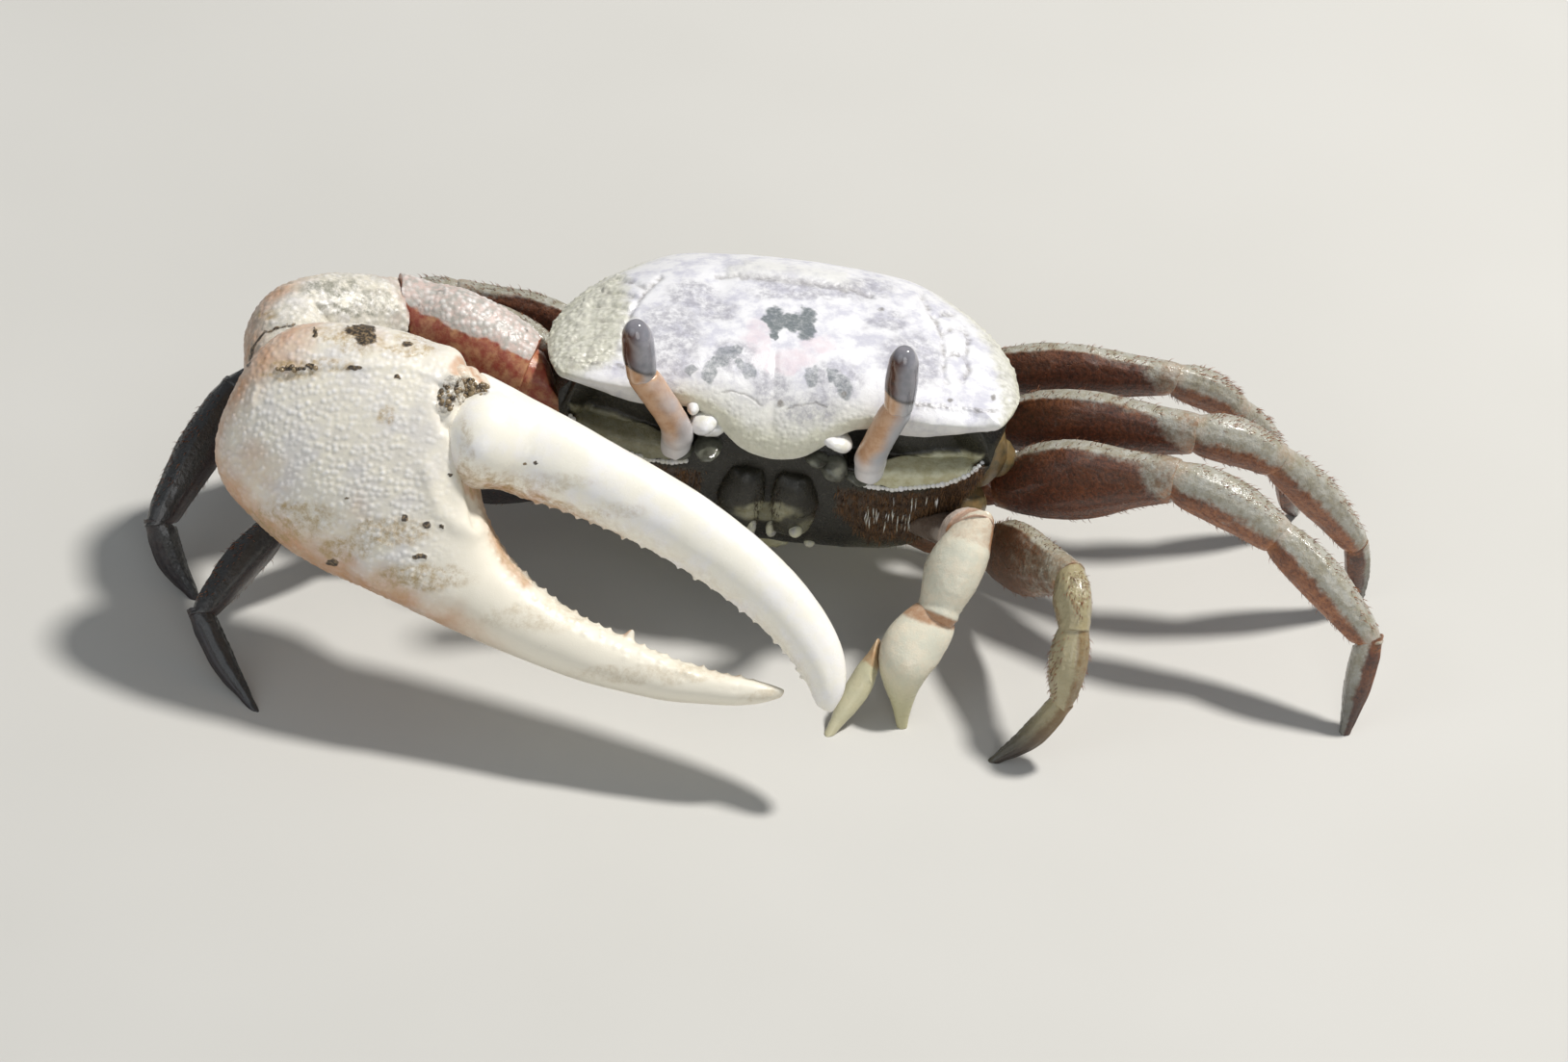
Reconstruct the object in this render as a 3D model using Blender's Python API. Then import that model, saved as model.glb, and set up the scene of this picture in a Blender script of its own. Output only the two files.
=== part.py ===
"""Fiddler crab, a still life-size model.

A large male, carapace 32 mm across, standing with its right claw folded across its front.
The crab faces -Y, its left side is +X, +Z is up and the floor is z = 0.
Design lengths are in millimetres; mm() turns them into Blender's metres.
"""

import bpy
import bmesh
import math
from mathutils import Vector
from mathutils.bvhtree import BVHTree

# Shared sizes; a segment's ends lean towards its joints over a few half widths
JOINT_REACH = 1.6
MILLIMETRE = 0.001
GAP = 0.3
FOOT_FLAT = 0.42

# Carapace: half of its outline from the front lobe round the left side to the back
CARAPACE_HALF_WIDTH = 16.0
CARAPACE_TOP = 20.6
CARAPACE_CENTRE = (0.0, -0.5)
CARAPACE_CORE_HEIGHT = 15.5
MARGIN_DEPTH = 1.0
ORBIT_WALL = 0.9
CORE_EDGE = 0.93
RIM_RINGS = ((0.99, 0.75), (1.0, 0.1))
FRONT_LOBE = [(0.0, -10.4, 15.5), (1.9, -10.3, 15.8), (3.4, -9.9, 16.7), (4.7, -9.4, 17.7)]
ORBIT_MARGIN = [(6.8, -9.1, 18.4), (10.4, -9.4, 18.9), (13.4, -9.1, 18.9), (15.0, -8.7, 18.9)]
EXORBITAL_ANGLE = (CARAPACE_HALF_WIDTH, -8.8, 19.1)
SIDE_MARGIN = [
    (16.5, -6.8, 18.7), (16.9, -4.0, 18.2), (16.4, -0.2, 17.5), (15.0, 3.6, 16.8), (12.6, 7.0, 16.2),
    (10.4, 9.3, 15.9), (8.8, 10.3, 15.7), (5.0, 10.7, 15.7), (0.0, 10.8, 15.7),
]
CROWN_POWER = 3.2
CROWN_ROOT = 0.72
CROWN_RINGS = (0.98, 0.94, 0.88, 0.8, 0.7, 0.58, 0.44, 0.3, 0.15)
CORNER_FADE = 0.4

# Lower body: height, width scale and length scale of each level below the carapace
LOWER_LEVELS = (
    (13.2, 0.90, 0.985), (11.2, 0.84, 0.96), (9.2, 0.78, 0.93),
    (7.2, 0.70, 0.88), (5.3, 0.56, 0.79), (4.0, 0.32, 0.55),
)
LOWER_BOTTOM = 3.6
FACE_FRONT = -9.5
FACE_BACK = -8.0
FACE_SWEEP = 0.8
ORBIT_INNER = 4.9
ORBIT_OUTER = 15.6
ORBIT_FLOOR = 14.4
ORBIT_RECESS = 0.9
SUBORBITAL_LIP = 14.1
SUBORBITAL_RISE = 1.2
LIP_RISE_START = 9.5
LIP_SCALE = (0.965, 0.99)
SIDE_DROP = 2.4
CORE_SCALES = (0.5, 0.78)
ORBIT_SCALE = 0.9

# Eyes: foot and bend of each stalk, the start of its cornea and its tip
STALK_RADIUS = 0.98
EYE_RADIUS = 1.12
STALK_END_RADIUS = 1.04
CORNEA_RINGS = (0.0, 0.12, 0.35, 0.6, 0.8, 0.92, 0.98)
CORNEA_ROUND_START = 0.6
CORNEA_SIDES = 12
EYE_POINTS = {
    "right": ((-6.9, -9.3), (-7.1, -10.6, 17.1), (-9.8, -10.9, 21.3), (-10.7, -10.9, 25.7)),
    "left": ((6.9, -9.3), (7.0, -10.6, 16.9), (8.4, -10.9, 21.3), (8.3, -10.9, 26.3)),
}

# Walking legs: a side's joints from the hip outwards; the last point is the foot on the floor
LEG_JOINTS = {
    "leg2_left": [(8.5, -4.5, 6.4), (16.0, -6.4, 6.0), (21.8, -16.2, 12.0),
                  (22.5, -19.6, 10.3), (22.3, -21.6, 5.1), (18.2, -22.6, 0.0)],
    "leg3_left": [(8.5, -1.4, 8.4), (16.2, -2.6, 8.9), (28.5, -7.3, 15.0),
                  (36.2, -8.9, 12.4), (43.6, -12.7, 7.0), (42.8, -14.6, 0.0)],
    "leg4_left": [(8.5, 1.6, 9.9), (15.3, 1.8, 11.0), (29.6, -2.4, 15.6),
                  (35.6, -2.2, 14.0), (42.4, -0.4, 5.9), (43.2, 0.8, 0.0)],
    "leg5_left": [(7.2, 4.0, 10.6), (13.6, 6.0, 12.4), (27.8, 4.9, 14.7),
                  (32.6, 5.8, 12.0), (37.0, 7.4, 5.2), (38.2, 10.0, 0.0)],
    "leg2_right": [(-8.5, -4.2, 6.2), (-14.9, -5.0, 6.7), (-27.5, -8.5, 8.6),
                   (-34.4, -14.5, 6.5), (-38.6, -22.0, 3.9), (-34.3, -26.6, 0.0)],
    "leg3_right": [(-8.5, -1.2, 8.0), (-15.2, -1.0, 8.4), (-29.0, 1.8, 10.2),
                   (-38.6, -5.0, 10.6), (-42.7, -13.2, 4.6), (-39.7, -15.2, 0.0)],
    "leg4_right": [(-8.5, 1.8, 8.6), (-15.0, 3.0, 9.2), (-26.5, 7.0, 11.4),
                   (-32.3, 6.0, 9.6), (-36.6, 2.8, 4.4), (-35.4, 0.8, 0.0)],
    "leg5_right": [(-7.2, 4.2, 8.8), (-12.9, 7.0, 9.3), (-23.8, 10.6, 10.0),
                   (-29.0, 10.8, 8.0), (-33.4, 11.2, 4.0), (-32.4, 12.4, 0.0)],
}
LEG_PARTS = ("base", "merus", "carpus", "propodus", "dactyl")
# Half thickness and half depth of a segment at its start, widest place and end
LEG_SECTIONS = {
    "base": ((1.35, 1.75), (1.45, 1.8), (1.2, 1.45)),
    "merus": ((1.25, 1.75), (1.65, 3.1), (1.35, 1.75)),
    "carpus": ((1.3, 1.6), (1.6, 2.0), (1.3, 1.55)),
    "propodus": ((1.25, 1.45), (1.45, 1.75), (0.95, 1.15)),
    "dactyl": ((0.88, 1.05), (0.85, 1.0), (FOOT_FLAT, FOOT_FLAT)),
}
LEG_SCALE = {"leg2": 0.92, "leg3": 1.06, "leg4": 0.98, "leg5": 0.8}
LEG_BOW = {"base": 0.0, "merus": 0.35, "carpus": 0.5, "propodus": 0.4, "dactyl": -0.5}

# Small claw, on the crab's left
MINOR_JOINTS = [(9.0, -5.0, 8.6), (13.4, -9.9, 9.9), (14.5, -12.6, 12.2), (12.8, -16.1, 7.1)]
MINOR_SECTIONS = {
    "base": ((1.2, 1.4), (1.3, 1.5), (1.1, 1.3)),
    "merus": ((1.1, 1.3), (1.5, 1.9), (1.5, 1.7)),
    "carpus": ((1.5, 1.7), (1.95, 2.5), (1.35, 1.7)),
    "palm": ((1.35, 1.75), (1.7, 2.3), (FOOT_FLAT, FOOT_FLAT)),
    "finger": ((0.8, 0.8), (0.7, 0.95), (FOOT_FLAT, FOOT_FLAT)),
}
MINOR_ARM_SIDE = (0.5, 0.2, -0.8)
MINOR_PALM_BOW = 0.4
MINOR_PALM_END = (11.0, -18.9, 3.7)
MINOR_FIXED_TIP = (11.4, -20.0, 0.0)
MINOR_FINGER_ROOT = (8.3, -18.6, 3.8)
MINOR_FINGER_TIP = (6.4, -21.8, 0.0)

# Large claw, on the crab's right: arm joints, then the palm's own axes
MAJOR_BASE_JOINTS = [(-10.0, -5.6, 14.0), (-18.4, -4.7, 15.5)]
MAJOR_ELBOW = (-27.0, -2.4, 17.3)
MAJOR_CARPUS_BOW = (-34.6, -6.2, 17.3)
MAJOR_ARM_SIDE = (0.25, 0.95, -0.2)
MAJOR_SECTIONS = {
    "base": ((1.9, 1.9), (2.1, 2.1), (2.1, 2.1)),
    "merus": ((2.8, 3.3), (3.0, 3.6), (2.5, 3.0)),
    "carpus": ((2.6, 3.0), (4.2, 3.7), (2.8, 3.0)),
}
PALM_HEEL = (-38.0, -17.0, 17.6)
CLAW_TIP = (6.0, -29.3, 8.0)
CLAW_FACE = (0.0, -0.848, 0.53)
PALM_WRIST = (5.6, 3.0)

# Large claw's outline along its length: distance from the heel, upper edge, lower edge, thickness
PALM_OUTLINE = (
    (-0.6, 3.2, 0.4, 0.9), (-0.2, 5.6, -2.0, 4.4), (1.2, 8.0, -4.2, 6.6), (3.8, 9.6, -5.5, 8.4),
    (7.5, 10.9, -6.6, 9.6), (11.0, 11.4, -6.8, 9.6), (13.4, 11.1, -6.6, 9.0), (17.9, 3.1, -6.4, 7.6),
    (20.1, 1.1, -6.5, 6.8), (22.5, -0.4, -6.4, 6.0), (26.8, -1.5, -6.1, 5.0), (31.0, -1.6, -5.6, 4.3),
    (35.5, -1.4, -4.6, 3.4), (39.1, -0.8, -3.2, 2.6), (41.8, -0.1, -1.9, 1.8), (43.4, 0.1, -0.6, 0.7),
)
PALM_SQUARENESS = (0.85, 0.6)
HINGE_TOP = (13.7, 11.0)
HINGE_LOW = (18.2, 3.2)
FINGER_ARC_START = 27.0
FINGER_ARC_RUN = 19.4
FINGER_HEIGHT = 7.5
# Share of the movable finger's length, its depth and its thickness
FINGER_SECTIONS = (
    (0.0, 7.6, 4.8), (0.12, 6.9, 5.2), (0.3, 5.8, 4.9), (0.5, 5.2, 4.2),
    (0.68, 4.4, 3.5), (0.84, 3.5, 2.7), (0.94, 2.5, 1.9), (1.0, 1.2, 0.9),
)
FINGER_STRAIGHT_SHARE = 0.36
FINGER_LENGTH = 31.0
FINGER_RINGS = 17
FINGER_SIDES = 14
ROOT_BLEND = (1.0, 0.75, 0.4)
TOOTH_COUNT = 22
PALM_TEETH = (22.5, 41.0)
FINGER_TEETH = (0.16, 0.86)
TOOTH_HEIGHT = 0.26
TOOTH_RADIUS = 0.38
LARGE_TOOTH_AT = 31.9
LARGE_TOOTH_HEIGHT = 0.75
LARGE_TOOTH_RADIUS = 0.75

# Mouth plates and abdomen
MOUTH_PLACE = 2.15
MOUTH_HALF = (1.85, 0.5)
PLATE_GAP = GAP + 0.1
ABDOMEN_FRONT = -4.0
ABDOMEN_HALF_WIDTHS = (4.6, 1.5)
ABDOMEN_HALF_THICKNESS = 0.45
ABDOMEN_PEAK = 0.2

COLOURS = {
    "shell": (0.78, 0.77, 0.72, 0.5), "belly": (0.22, 0.19, 0.12, 0.6), "mouth": (0.2, 0.2, 0.13, 0.4),
    "stalk": (0.62, 0.42, 0.26, 0.4), "cornea": (0.09, 0.07, 0.06, 0.15), "claw": (0.83, 0.8, 0.72, 0.45),
    "finger": (0.88, 0.86, 0.79, 0.35), "arm": (0.52, 0.2, 0.13, 0.5), "leg": (0.22, 0.1, 0.06, 0.6),
    "minor": (0.68, 0.62, 0.45, 0.45),
}


def clear_scene():
    for item in list(bpy.data.objects):
        bpy.data.objects.remove(item, do_unlink=True)


def mm(point):
    return Vector(point) * MILLIMETRE


def finish_material(node, kind):
    red, green, blue, roughness = COLOURS[kind]
    material = bpy.data.materials.new(node.name + "_finish")
    material.use_nodes = True
    shader = material.node_tree.nodes["Principled BSDF"]
    shader.inputs["Base Color"].default_value = (red, green, blue, 1.0)
    shader.inputs["Roughness"].default_value = roughness
    node.data.materials.append(material)


def make_node(name, mesh_data, kind):
    mesh = bpy.data.meshes.new(name)
    mesh_data.to_mesh(mesh)
    mesh_data.free()
    mesh.shade_smooth()
    mesh.set_sharp_from_angle(angle=math.radians(50))
    node = bpy.data.objects.new(name, mesh)
    bpy.context.scene.collection.objects.link(node)
    finish_material(node, kind)
    return node


def skin_rings(rings):
    """A closed body from rings of points; a ring of one point closes an end to a tip."""
    body = bmesh.new()
    rows = [[body.verts.new(mm(point)) for point in ring] for ring in rings]
    for lower, upper in zip(rows, rows[1:]):
        count = max(len(lower), len(upper))
        for index in range(count):
            after = (index + 1) % count
            if len(lower) == 1:
                body.faces.new((lower[0], upper[after], upper[index]))
            elif len(upper) == 1:
                body.faces.new((lower[index], lower[after], upper[0]))
            else:
                body.faces.new((lower[index], lower[after], upper[after], upper[index]))
    for row in (rows[0], rows[-1]):
        if len(row) > 2:
            body.faces.new(row)
    bmesh.ops.recalc_face_normals(body, faces=body.faces)
    if body.calc_volume(signed=True) < 0:
        bmesh.ops.reverse_faces(body, faces=body.faces)
    return body


def smooth_curve(points, steps):
    """Points on one smooth curve through the given points, steps to each span."""
    knots = [Vector(point) for point in points]
    knots = [knots[0] * 2 - knots[1]] + knots + [knots[-1] * 2 - knots[-2]]
    line = []
    for index in range(1, len(knots) - 2):
        before, start, end, after = knots[index - 1:index + 3]
        for step in range(steps):
            t = step / steps
            line.append(0.5 * (
                2 * start + (end - before) * t
                + (2 * before - 5 * start + 4 * end - after) * t ** 2
                + (3 * start - before - 3 * end + after) * t ** 3))
    line.append(knots[-2])
    return line


def eased(start, middle, end, share, peak=0.42):
    """A value that swells from start to middle at peak and falls to end."""
    if share < peak:
        t = math.sin(0.5 * math.pi * share / peak)
        return start + (middle - start) * t
    t = math.sin(0.5 * math.pi * (share - peak) / (1.0 - peak))
    return middle + (end - middle) * t ** 2


def plane_shift(point, along, plane):
    """How far along its segment a point slides to reach a plane."""
    centre, normal = plane
    return (centre - point).dot(normal) / along.dot(normal)


def limb_rings(axis, side, sections, start_plane, end_plane, sides=10, peak=0.42):
    """Oval rings along an axis; the first and last lie in the given planes."""
    spans = [(after - before).length for before, after in zip(axis, axis[1:])]
    total = sum(spans)
    last = len(spans)
    rings = []
    walked = 0.0
    for index, centre in enumerate(axis):
        share = walked / total
        tangent = (axis[min(index + 1, last)] - axis[max(index - 1, 0)]).normalized()
        across = (side - tangent * side.dot(tangent)).normalized()
        deep = tangent.cross(across).normalized()
        half_width = eased(sections[0][0], sections[1][0], sections[2][0], share, peak)
        half_depth = eased(sections[0][1], sections[1][1], sections[2][1], share, peak)
        ring = []
        for step in range(sides):
            angle = 2 * math.pi * step / sides
            offset = across * half_width * math.cos(angle) + deep * half_depth * math.sin(angle)
            point = centre + offset
            reach = max(half_depth, half_width) * JOINT_REACH
            for plane, distance, other_end in ((start_plane, walked, last), (end_plane, total - walked, 0)):
                if plane is None or distance >= reach or index == other_end:
                    continue
                target = plane if index in (0, last) else (centre, plane[1])
                point = point + tangent * plane_shift(point, tangent, target) * (1.0 - distance / reach)
            ring.append(point)
        rings.append(ring)
        if index < last:
            walked += spans[index]
    return rings


def joint_plane(before, joint, after, sign):
    """The plane that halves a bend, half a gap to one side of the joint."""
    inward = (Vector(joint) - Vector(before)).normalized()
    outward = (Vector(after) - Vector(joint)).normalized()
    normal = (inward + outward).normalized()
    return Vector(joint) + normal * sign * GAP / 2, normal


def bowed_axis(start, end, bow, steps):
    """A line from start to end that rises by bow at its middle."""
    start = Vector(start)
    end = Vector(end)
    lift = Vector((0, 0, 1)) - (end - start).normalized() * (end - start).normalized().z
    middle = (start + end) / 2 + lift.normalized() * bow
    if abs(lift.length) < 0.3:
        middle = (start + end) / 2
    return smooth_curve([start, middle, end], steps)


def surface_seat(carrier, start, towards):
    """The plane a gap off the carrier's surface where a line from start first meets it."""
    tree = BVHTree.FromObject(carrier, bpy.context.evaluated_depsgraph_get())
    ray = (Vector(towards) - Vector(start)).normalized()
    place, normal, _, _ = tree.ray_cast(mm(start), ray)
    return place / MILLIMETRE + normal * GAP, normal


def half_outline():
    front = smooth_curve(FRONT_LOBE + ORBIT_MARGIN + [EXORBITAL_ANGLE], 2)
    side = smooth_curve([EXORBITAL_ANGLE] + SIDE_MARGIN, 2)
    return front + side[1:]


def full_outline():
    """The carapace's edge, from the front lobe round the left side and back."""
    left = half_outline()
    right = [Vector((-point.x, point.y, point.z)) for point in reversed(left[1:-1])]
    return left + right


def edge_ring(outline, width_scale, length_scale, height):
    """The outline drawn in towards the centre, at heights given by a function."""
    centre_x, centre_y = CARAPACE_CENTRE
    return [
        Vector((
            centre_x + (point.x - centre_x) * width_scale,
            centre_y + (point.y - centre_y) * length_scale,
            height(point)))
        for point in outline
    ]


def rounder_outline(outline, share):
    """The outline with its corners eased towards an oval by a share."""
    centre_x, centre_y = CARAPACE_CENTRE
    half_length = (SIDE_MARGIN[-1][1] - FRONT_LOBE[0][1]) / 2
    eased_outline = []
    for point in outline:
        angle = math.atan2((point.y - centre_y) / half_length, (point.x - centre_x) / CARAPACE_HALF_WIDTH)
        oval = Vector((
            centre_x + CARAPACE_HALF_WIDTH * math.cos(angle),
            centre_y + half_length * math.sin(angle),
            point.z))
        eased_outline.append(point.lerp(oval, share))
    return eased_outline


def in_orbit(point):
    return point.y < FACE_BACK and ORBIT_INNER < abs(point.x) < ORBIT_OUTER


def margin_depth(point):
    """How deep the carapace's edge is; over the eyes it is a taller wall."""
    if not in_orbit(point):
        return MARGIN_DEPTH
    share = (abs(point.x) - ORBIT_INNER) / (ORBIT_OUTER - ORBIT_INNER)
    return MARGIN_DEPTH + ORBIT_WALL * math.sin(math.pi * share)


def core_height(point, scale, drop):
    """The height of the seam between carapace and lower body."""
    margin = point.z - margin_depth(point)
    return CARAPACE_CORE_HEIGHT + (margin - CARAPACE_CORE_HEIGHT) * scale / CORE_EDGE - drop


def crown_height(point, scale):
    rise = (1.0 - scale ** CROWN_POWER) ** CROWN_ROOT
    return point.z + (CARAPACE_TOP - point.z) * rise


def make_carapace(outline):
    centre_x, centre_y = CARAPACE_CENTRE
    rings = [[Vector((centre_x, centre_y, CARAPACE_CORE_HEIGHT))]]
    for scale in (0.5 * CORE_EDGE, CORE_EDGE):
        rings.append(edge_ring(outline, scale, scale, lambda p, s=scale: core_height(p, s, 0.0)))
    for scale, drop in RIM_RINGS:
        rings.append(edge_ring(outline, scale, scale, lambda p, d=drop: p.z - d))
    for scale in CROWN_RINGS:
        rounder = rounder_outline(outline, min(1.0, (1.0 - scale) / CORNER_FADE))
        rings.append(edge_ring(rounder, scale, scale, lambda p, s=scale: crown_height(p, s)))
    rings.append([Vector((centre_x, centre_y, CARAPACE_TOP))])
    return make_node("carapace", skin_rings(rings), "shell")


def lip_height(point):
    """The suborbital ledge, which rises to meet the carapace's corner."""
    if point.y > FACE_BACK:
        return point.z - SIDE_DROP
    reach = max(0.0, (abs(point.x) - LIP_RISE_START) / (CARAPACE_HALF_WIDTH - LIP_RISE_START))
    return SUBORBITAL_LIP + SUBORBITAL_RISE * reach ** 2


def face_front(x):
    """The y place of the face, which sweeps back a little to either side."""
    return FACE_FRONT + FACE_SWEEP * (x / CARAPACE_HALF_WIDTH) ** 4


def make_underside(outline):
    centre_x, centre_y = CARAPACE_CENTRE
    face = [Vector((p.x, face_front(p.x) if p.y < FACE_BACK else p.y, p.z)) for p in outline]
    rings = [[Vector((centre_x, centre_y, CARAPACE_CORE_HEIGHT - GAP))]]
    for scale in CORE_SCALES:
        rings.append(edge_ring(outline, scale, scale, lambda p, s=scale: core_height(p, s, GAP)))
    floor = edge_ring(outline, ORBIT_SCALE, ORBIT_SCALE, lambda p: core_height(p, ORBIT_SCALE, GAP))
    for point, rim in zip(floor, face):
        if in_orbit(rim):
            point.y += ORBIT_RECESS
            point.z = ORBIT_FLOOR
    rings.append(floor)
    rings.append(edge_ring(face, *LIP_SCALE, lip_height))
    for height, width_scale, length_scale in LOWER_LEVELS:
        rings.append(edge_ring(face, width_scale, length_scale, lambda p, h=height: h))
    rings.append([Vector((centre_x, centre_y, LOWER_BOTTOM))])
    return make_node("underside", skin_rings(rings), "belly")


def make_segment(name, axis, side, sections, planes, kind, sides=10, peak=0.42):
    rings = limb_rings(axis, side, sections, planes[0], planes[1], sides, peak)
    return make_node(name, skin_rings(rings), kind)


def scaled_sections(sections, scale):
    return tuple((width * scale, depth * scale) for width, depth in sections)


def make_leg(name, carrier):
    joints = [Vector(point) for point in LEG_JOINTS[name]]
    scale = LEG_SCALE[name[:4]]
    reach = joints[-2] - joints[0]
    side = Vector((reach.y, -reach.x, 0)).normalized()
    start_plane = surface_seat(carrier, joints[1], joints[0])
    joints[0] = start_plane[0]
    for index, part in enumerate(LEG_PARTS):
        start = joints[index]
        end = joints[index + 1]
        axis = [start, end] if part == "base" else bowed_axis(start, end, LEG_BOW[part] * scale, 3)
        if part == "dactyl":
            end_plane = (end, Vector((0, 0, -1)))
        else:
            end_plane = joint_plane(start, end, joints[index + 2], -1)
        sections = scaled_sections(LEG_SECTIONS[part], scale)
        make_segment(f"{name}_{part}", axis, side, sections, (start_plane, end_plane), "leg")
        if part != "dactyl":
            start_plane = joint_plane(start, end, joints[index + 2], 1)


def claw_axes():
    along = (Vector(CLAW_TIP) - Vector(PALM_HEEL)).normalized()
    face = Vector(CLAW_FACE)
    face = (face - along * face.dot(along)).normalized()
    return along, face.cross(along), face


def claw_point(distance, height, out=0.0):
    along, up, face = claw_axes()
    return Vector(PALM_HEEL) + along * distance + up * height + face * out


def rounded_section(distance, top, bottom, thickness, squareness, sides=16):
    """One closed section of the large claw, across its length."""
    middle = (top + bottom) / 2
    half = (top - bottom) / 2
    ring = []
    for step in range(sides):
        angle = 2 * math.pi * step / sides
        rise = math.copysign(abs(math.sin(angle)) ** squareness, math.sin(angle))
        out = math.copysign(abs(math.cos(angle)) ** squareness, math.cos(angle))
        ring.append(claw_point(distance, middle + half * rise, thickness / 2 * out))
    return ring


def make_tooth(place, pointing, height, radius, holder):
    """One blunt tooth, its root sunk in the edge that carries it."""
    cone = bmesh.new()
    bmesh.ops.create_cone(
        cone, cap_ends=True, segments=5, radius1=radius * MILLIMETRE,
        radius2=0.35 * radius * MILLIMETRE, depth=2 * height * MILLIMETRE)
    mesh = bpy.data.meshes.new("tooth")
    cone.to_mesh(mesh)
    cone.free()
    tooth = bpy.data.objects.new("tooth", mesh)
    tooth.rotation_mode = "QUATERNION"
    tooth.rotation_quaternion = pointing.to_track_quat("Z", "Y")
    tooth.location = mm(place)
    holder.objects.link(tooth)


def keep_largest_surface(node):
    body = bmesh.new()
    body.from_mesh(node.data)
    body.faces.ensure_lookup_table()
    left = set(body.faces)
    shells = []
    while left:
        stack = [left.pop()]
        shell = set(stack)
        while stack:
            for edge in stack.pop().edges:
                for face in edge.link_faces:
                    if face in left:
                        left.remove(face)
                        shell.add(face)
                        stack.append(face)
        shells.append(shell)
    largest = max(shells, key=len)
    for shell in shells:
        if shell is not largest:
            bmesh.ops.delete(body, geom=list(shell), context="FACES")
    body.to_mesh(node.data)
    body.free()


def fuse(node, holder):
    """Unites the collection's closed objects with a node and removes them."""
    bpy.context.scene.collection.children.link(holder)
    union = node.modifiers.new("union", "BOOLEAN")
    union.operation = "UNION"
    union.operand_type = "COLLECTION"
    union.collection = holder
    union.solver = "EXACT"
    graph = bpy.context.evaluated_depsgraph_get()
    joined = bpy.data.meshes.new_from_object(node.evaluated_get(graph))
    node.modifiers.clear()
    node.data = joined
    for item in list(holder.objects):
        bpy.data.objects.remove(item, do_unlink=True)
    bpy.data.collections.remove(holder)
    keep_largest_surface(node)


def outline_value(distance, column):
    for low, high in zip(PALM_OUTLINE, PALM_OUTLINE[1:]):
        if low[0] <= distance <= high[0]:
            share = (distance - low[0]) / (high[0] - low[0])
            return low[column] + (high[column] - low[column]) * share
    return PALM_OUTLINE[-1][column]


def make_palm():
    """Palm and fixed finger in one piece, with a row of teeth on the biting edge."""
    rings = []
    for distance, top, bottom, thickness in smooth_curve(PALM_OUTLINE, 2):
        by_hinge = HINGE_TOP[0] - 1 < distance < HINGE_LOW[0] + 1
        squareness = PALM_SQUARENESS[by_hinge]
        rings.append(rounded_section(distance, top, bottom, thickness, squareness))
    palm = make_node("major_palm", skin_rings(rings), "claw")
    _, up, _ = claw_axes()
    holder = bpy.data.collections.new("palm_teeth")
    for index in range(TOOTH_COUNT):
        distance = PALM_TEETH[0] + (PALM_TEETH[1] - PALM_TEETH[0]) * index / (TOOTH_COUNT - 1)
        edge = claw_point(distance, outline_value(distance, 1))
        size = 0.8 + 0.2 * math.sin(2.3 * index)
        make_tooth(edge, up, TOOTH_HEIGHT * size, TOOTH_RADIUS * size, holder)
    edge = claw_point(LARGE_TOOTH_AT, outline_value(LARGE_TOOTH_AT, 1))
    make_tooth(edge, up, LARGE_TOOTH_HEIGHT, LARGE_TOOTH_RADIUS, holder)
    fuse(palm, holder)
    return palm


def finger_centre(share):
    """The movable finger's centre line: straight at first, then a quarter of an oval."""
    straight = FINGER_ARC_START - (HINGE_TOP[0] + HINGE_LOW[0]) / 2
    if share < FINGER_STRAIGHT_SHARE:
        t = share / FINGER_STRAIGHT_SHARE
        return (FINGER_ARC_START - straight * (1 - t), FINGER_HEIGHT - 0.25 * (1 - t) ** 2)
    turn = 0.5 * math.pi * (share - FINGER_STRAIGHT_SHARE) / (1 - FINGER_STRAIGHT_SHARE)
    return (FINGER_ARC_START + FINGER_ARC_RUN * math.sin(turn), FINGER_HEIGHT * math.cos(turn))


def finger_size(share, column):
    for low, high in zip(FINGER_SECTIONS, FINGER_SECTIONS[1:]):
        if low[0] <= share <= high[0]:
            t = (share - low[0]) / (high[0] - low[0])
            return low[column] + (high[column] - low[column]) * t
    return FINGER_SECTIONS[-1][column]


def finger_frame(share):
    """Centre, direction along and direction across the finger in the claw's plane."""
    step = 0.01
    before = Vector(finger_centre(max(0.0, share - step)))
    after = Vector(finger_centre(min(1.0, share + step)))
    heading = (after - before).normalized()
    return Vector(finger_centre(share)), heading, Vector((-heading.y, heading.x))


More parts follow.
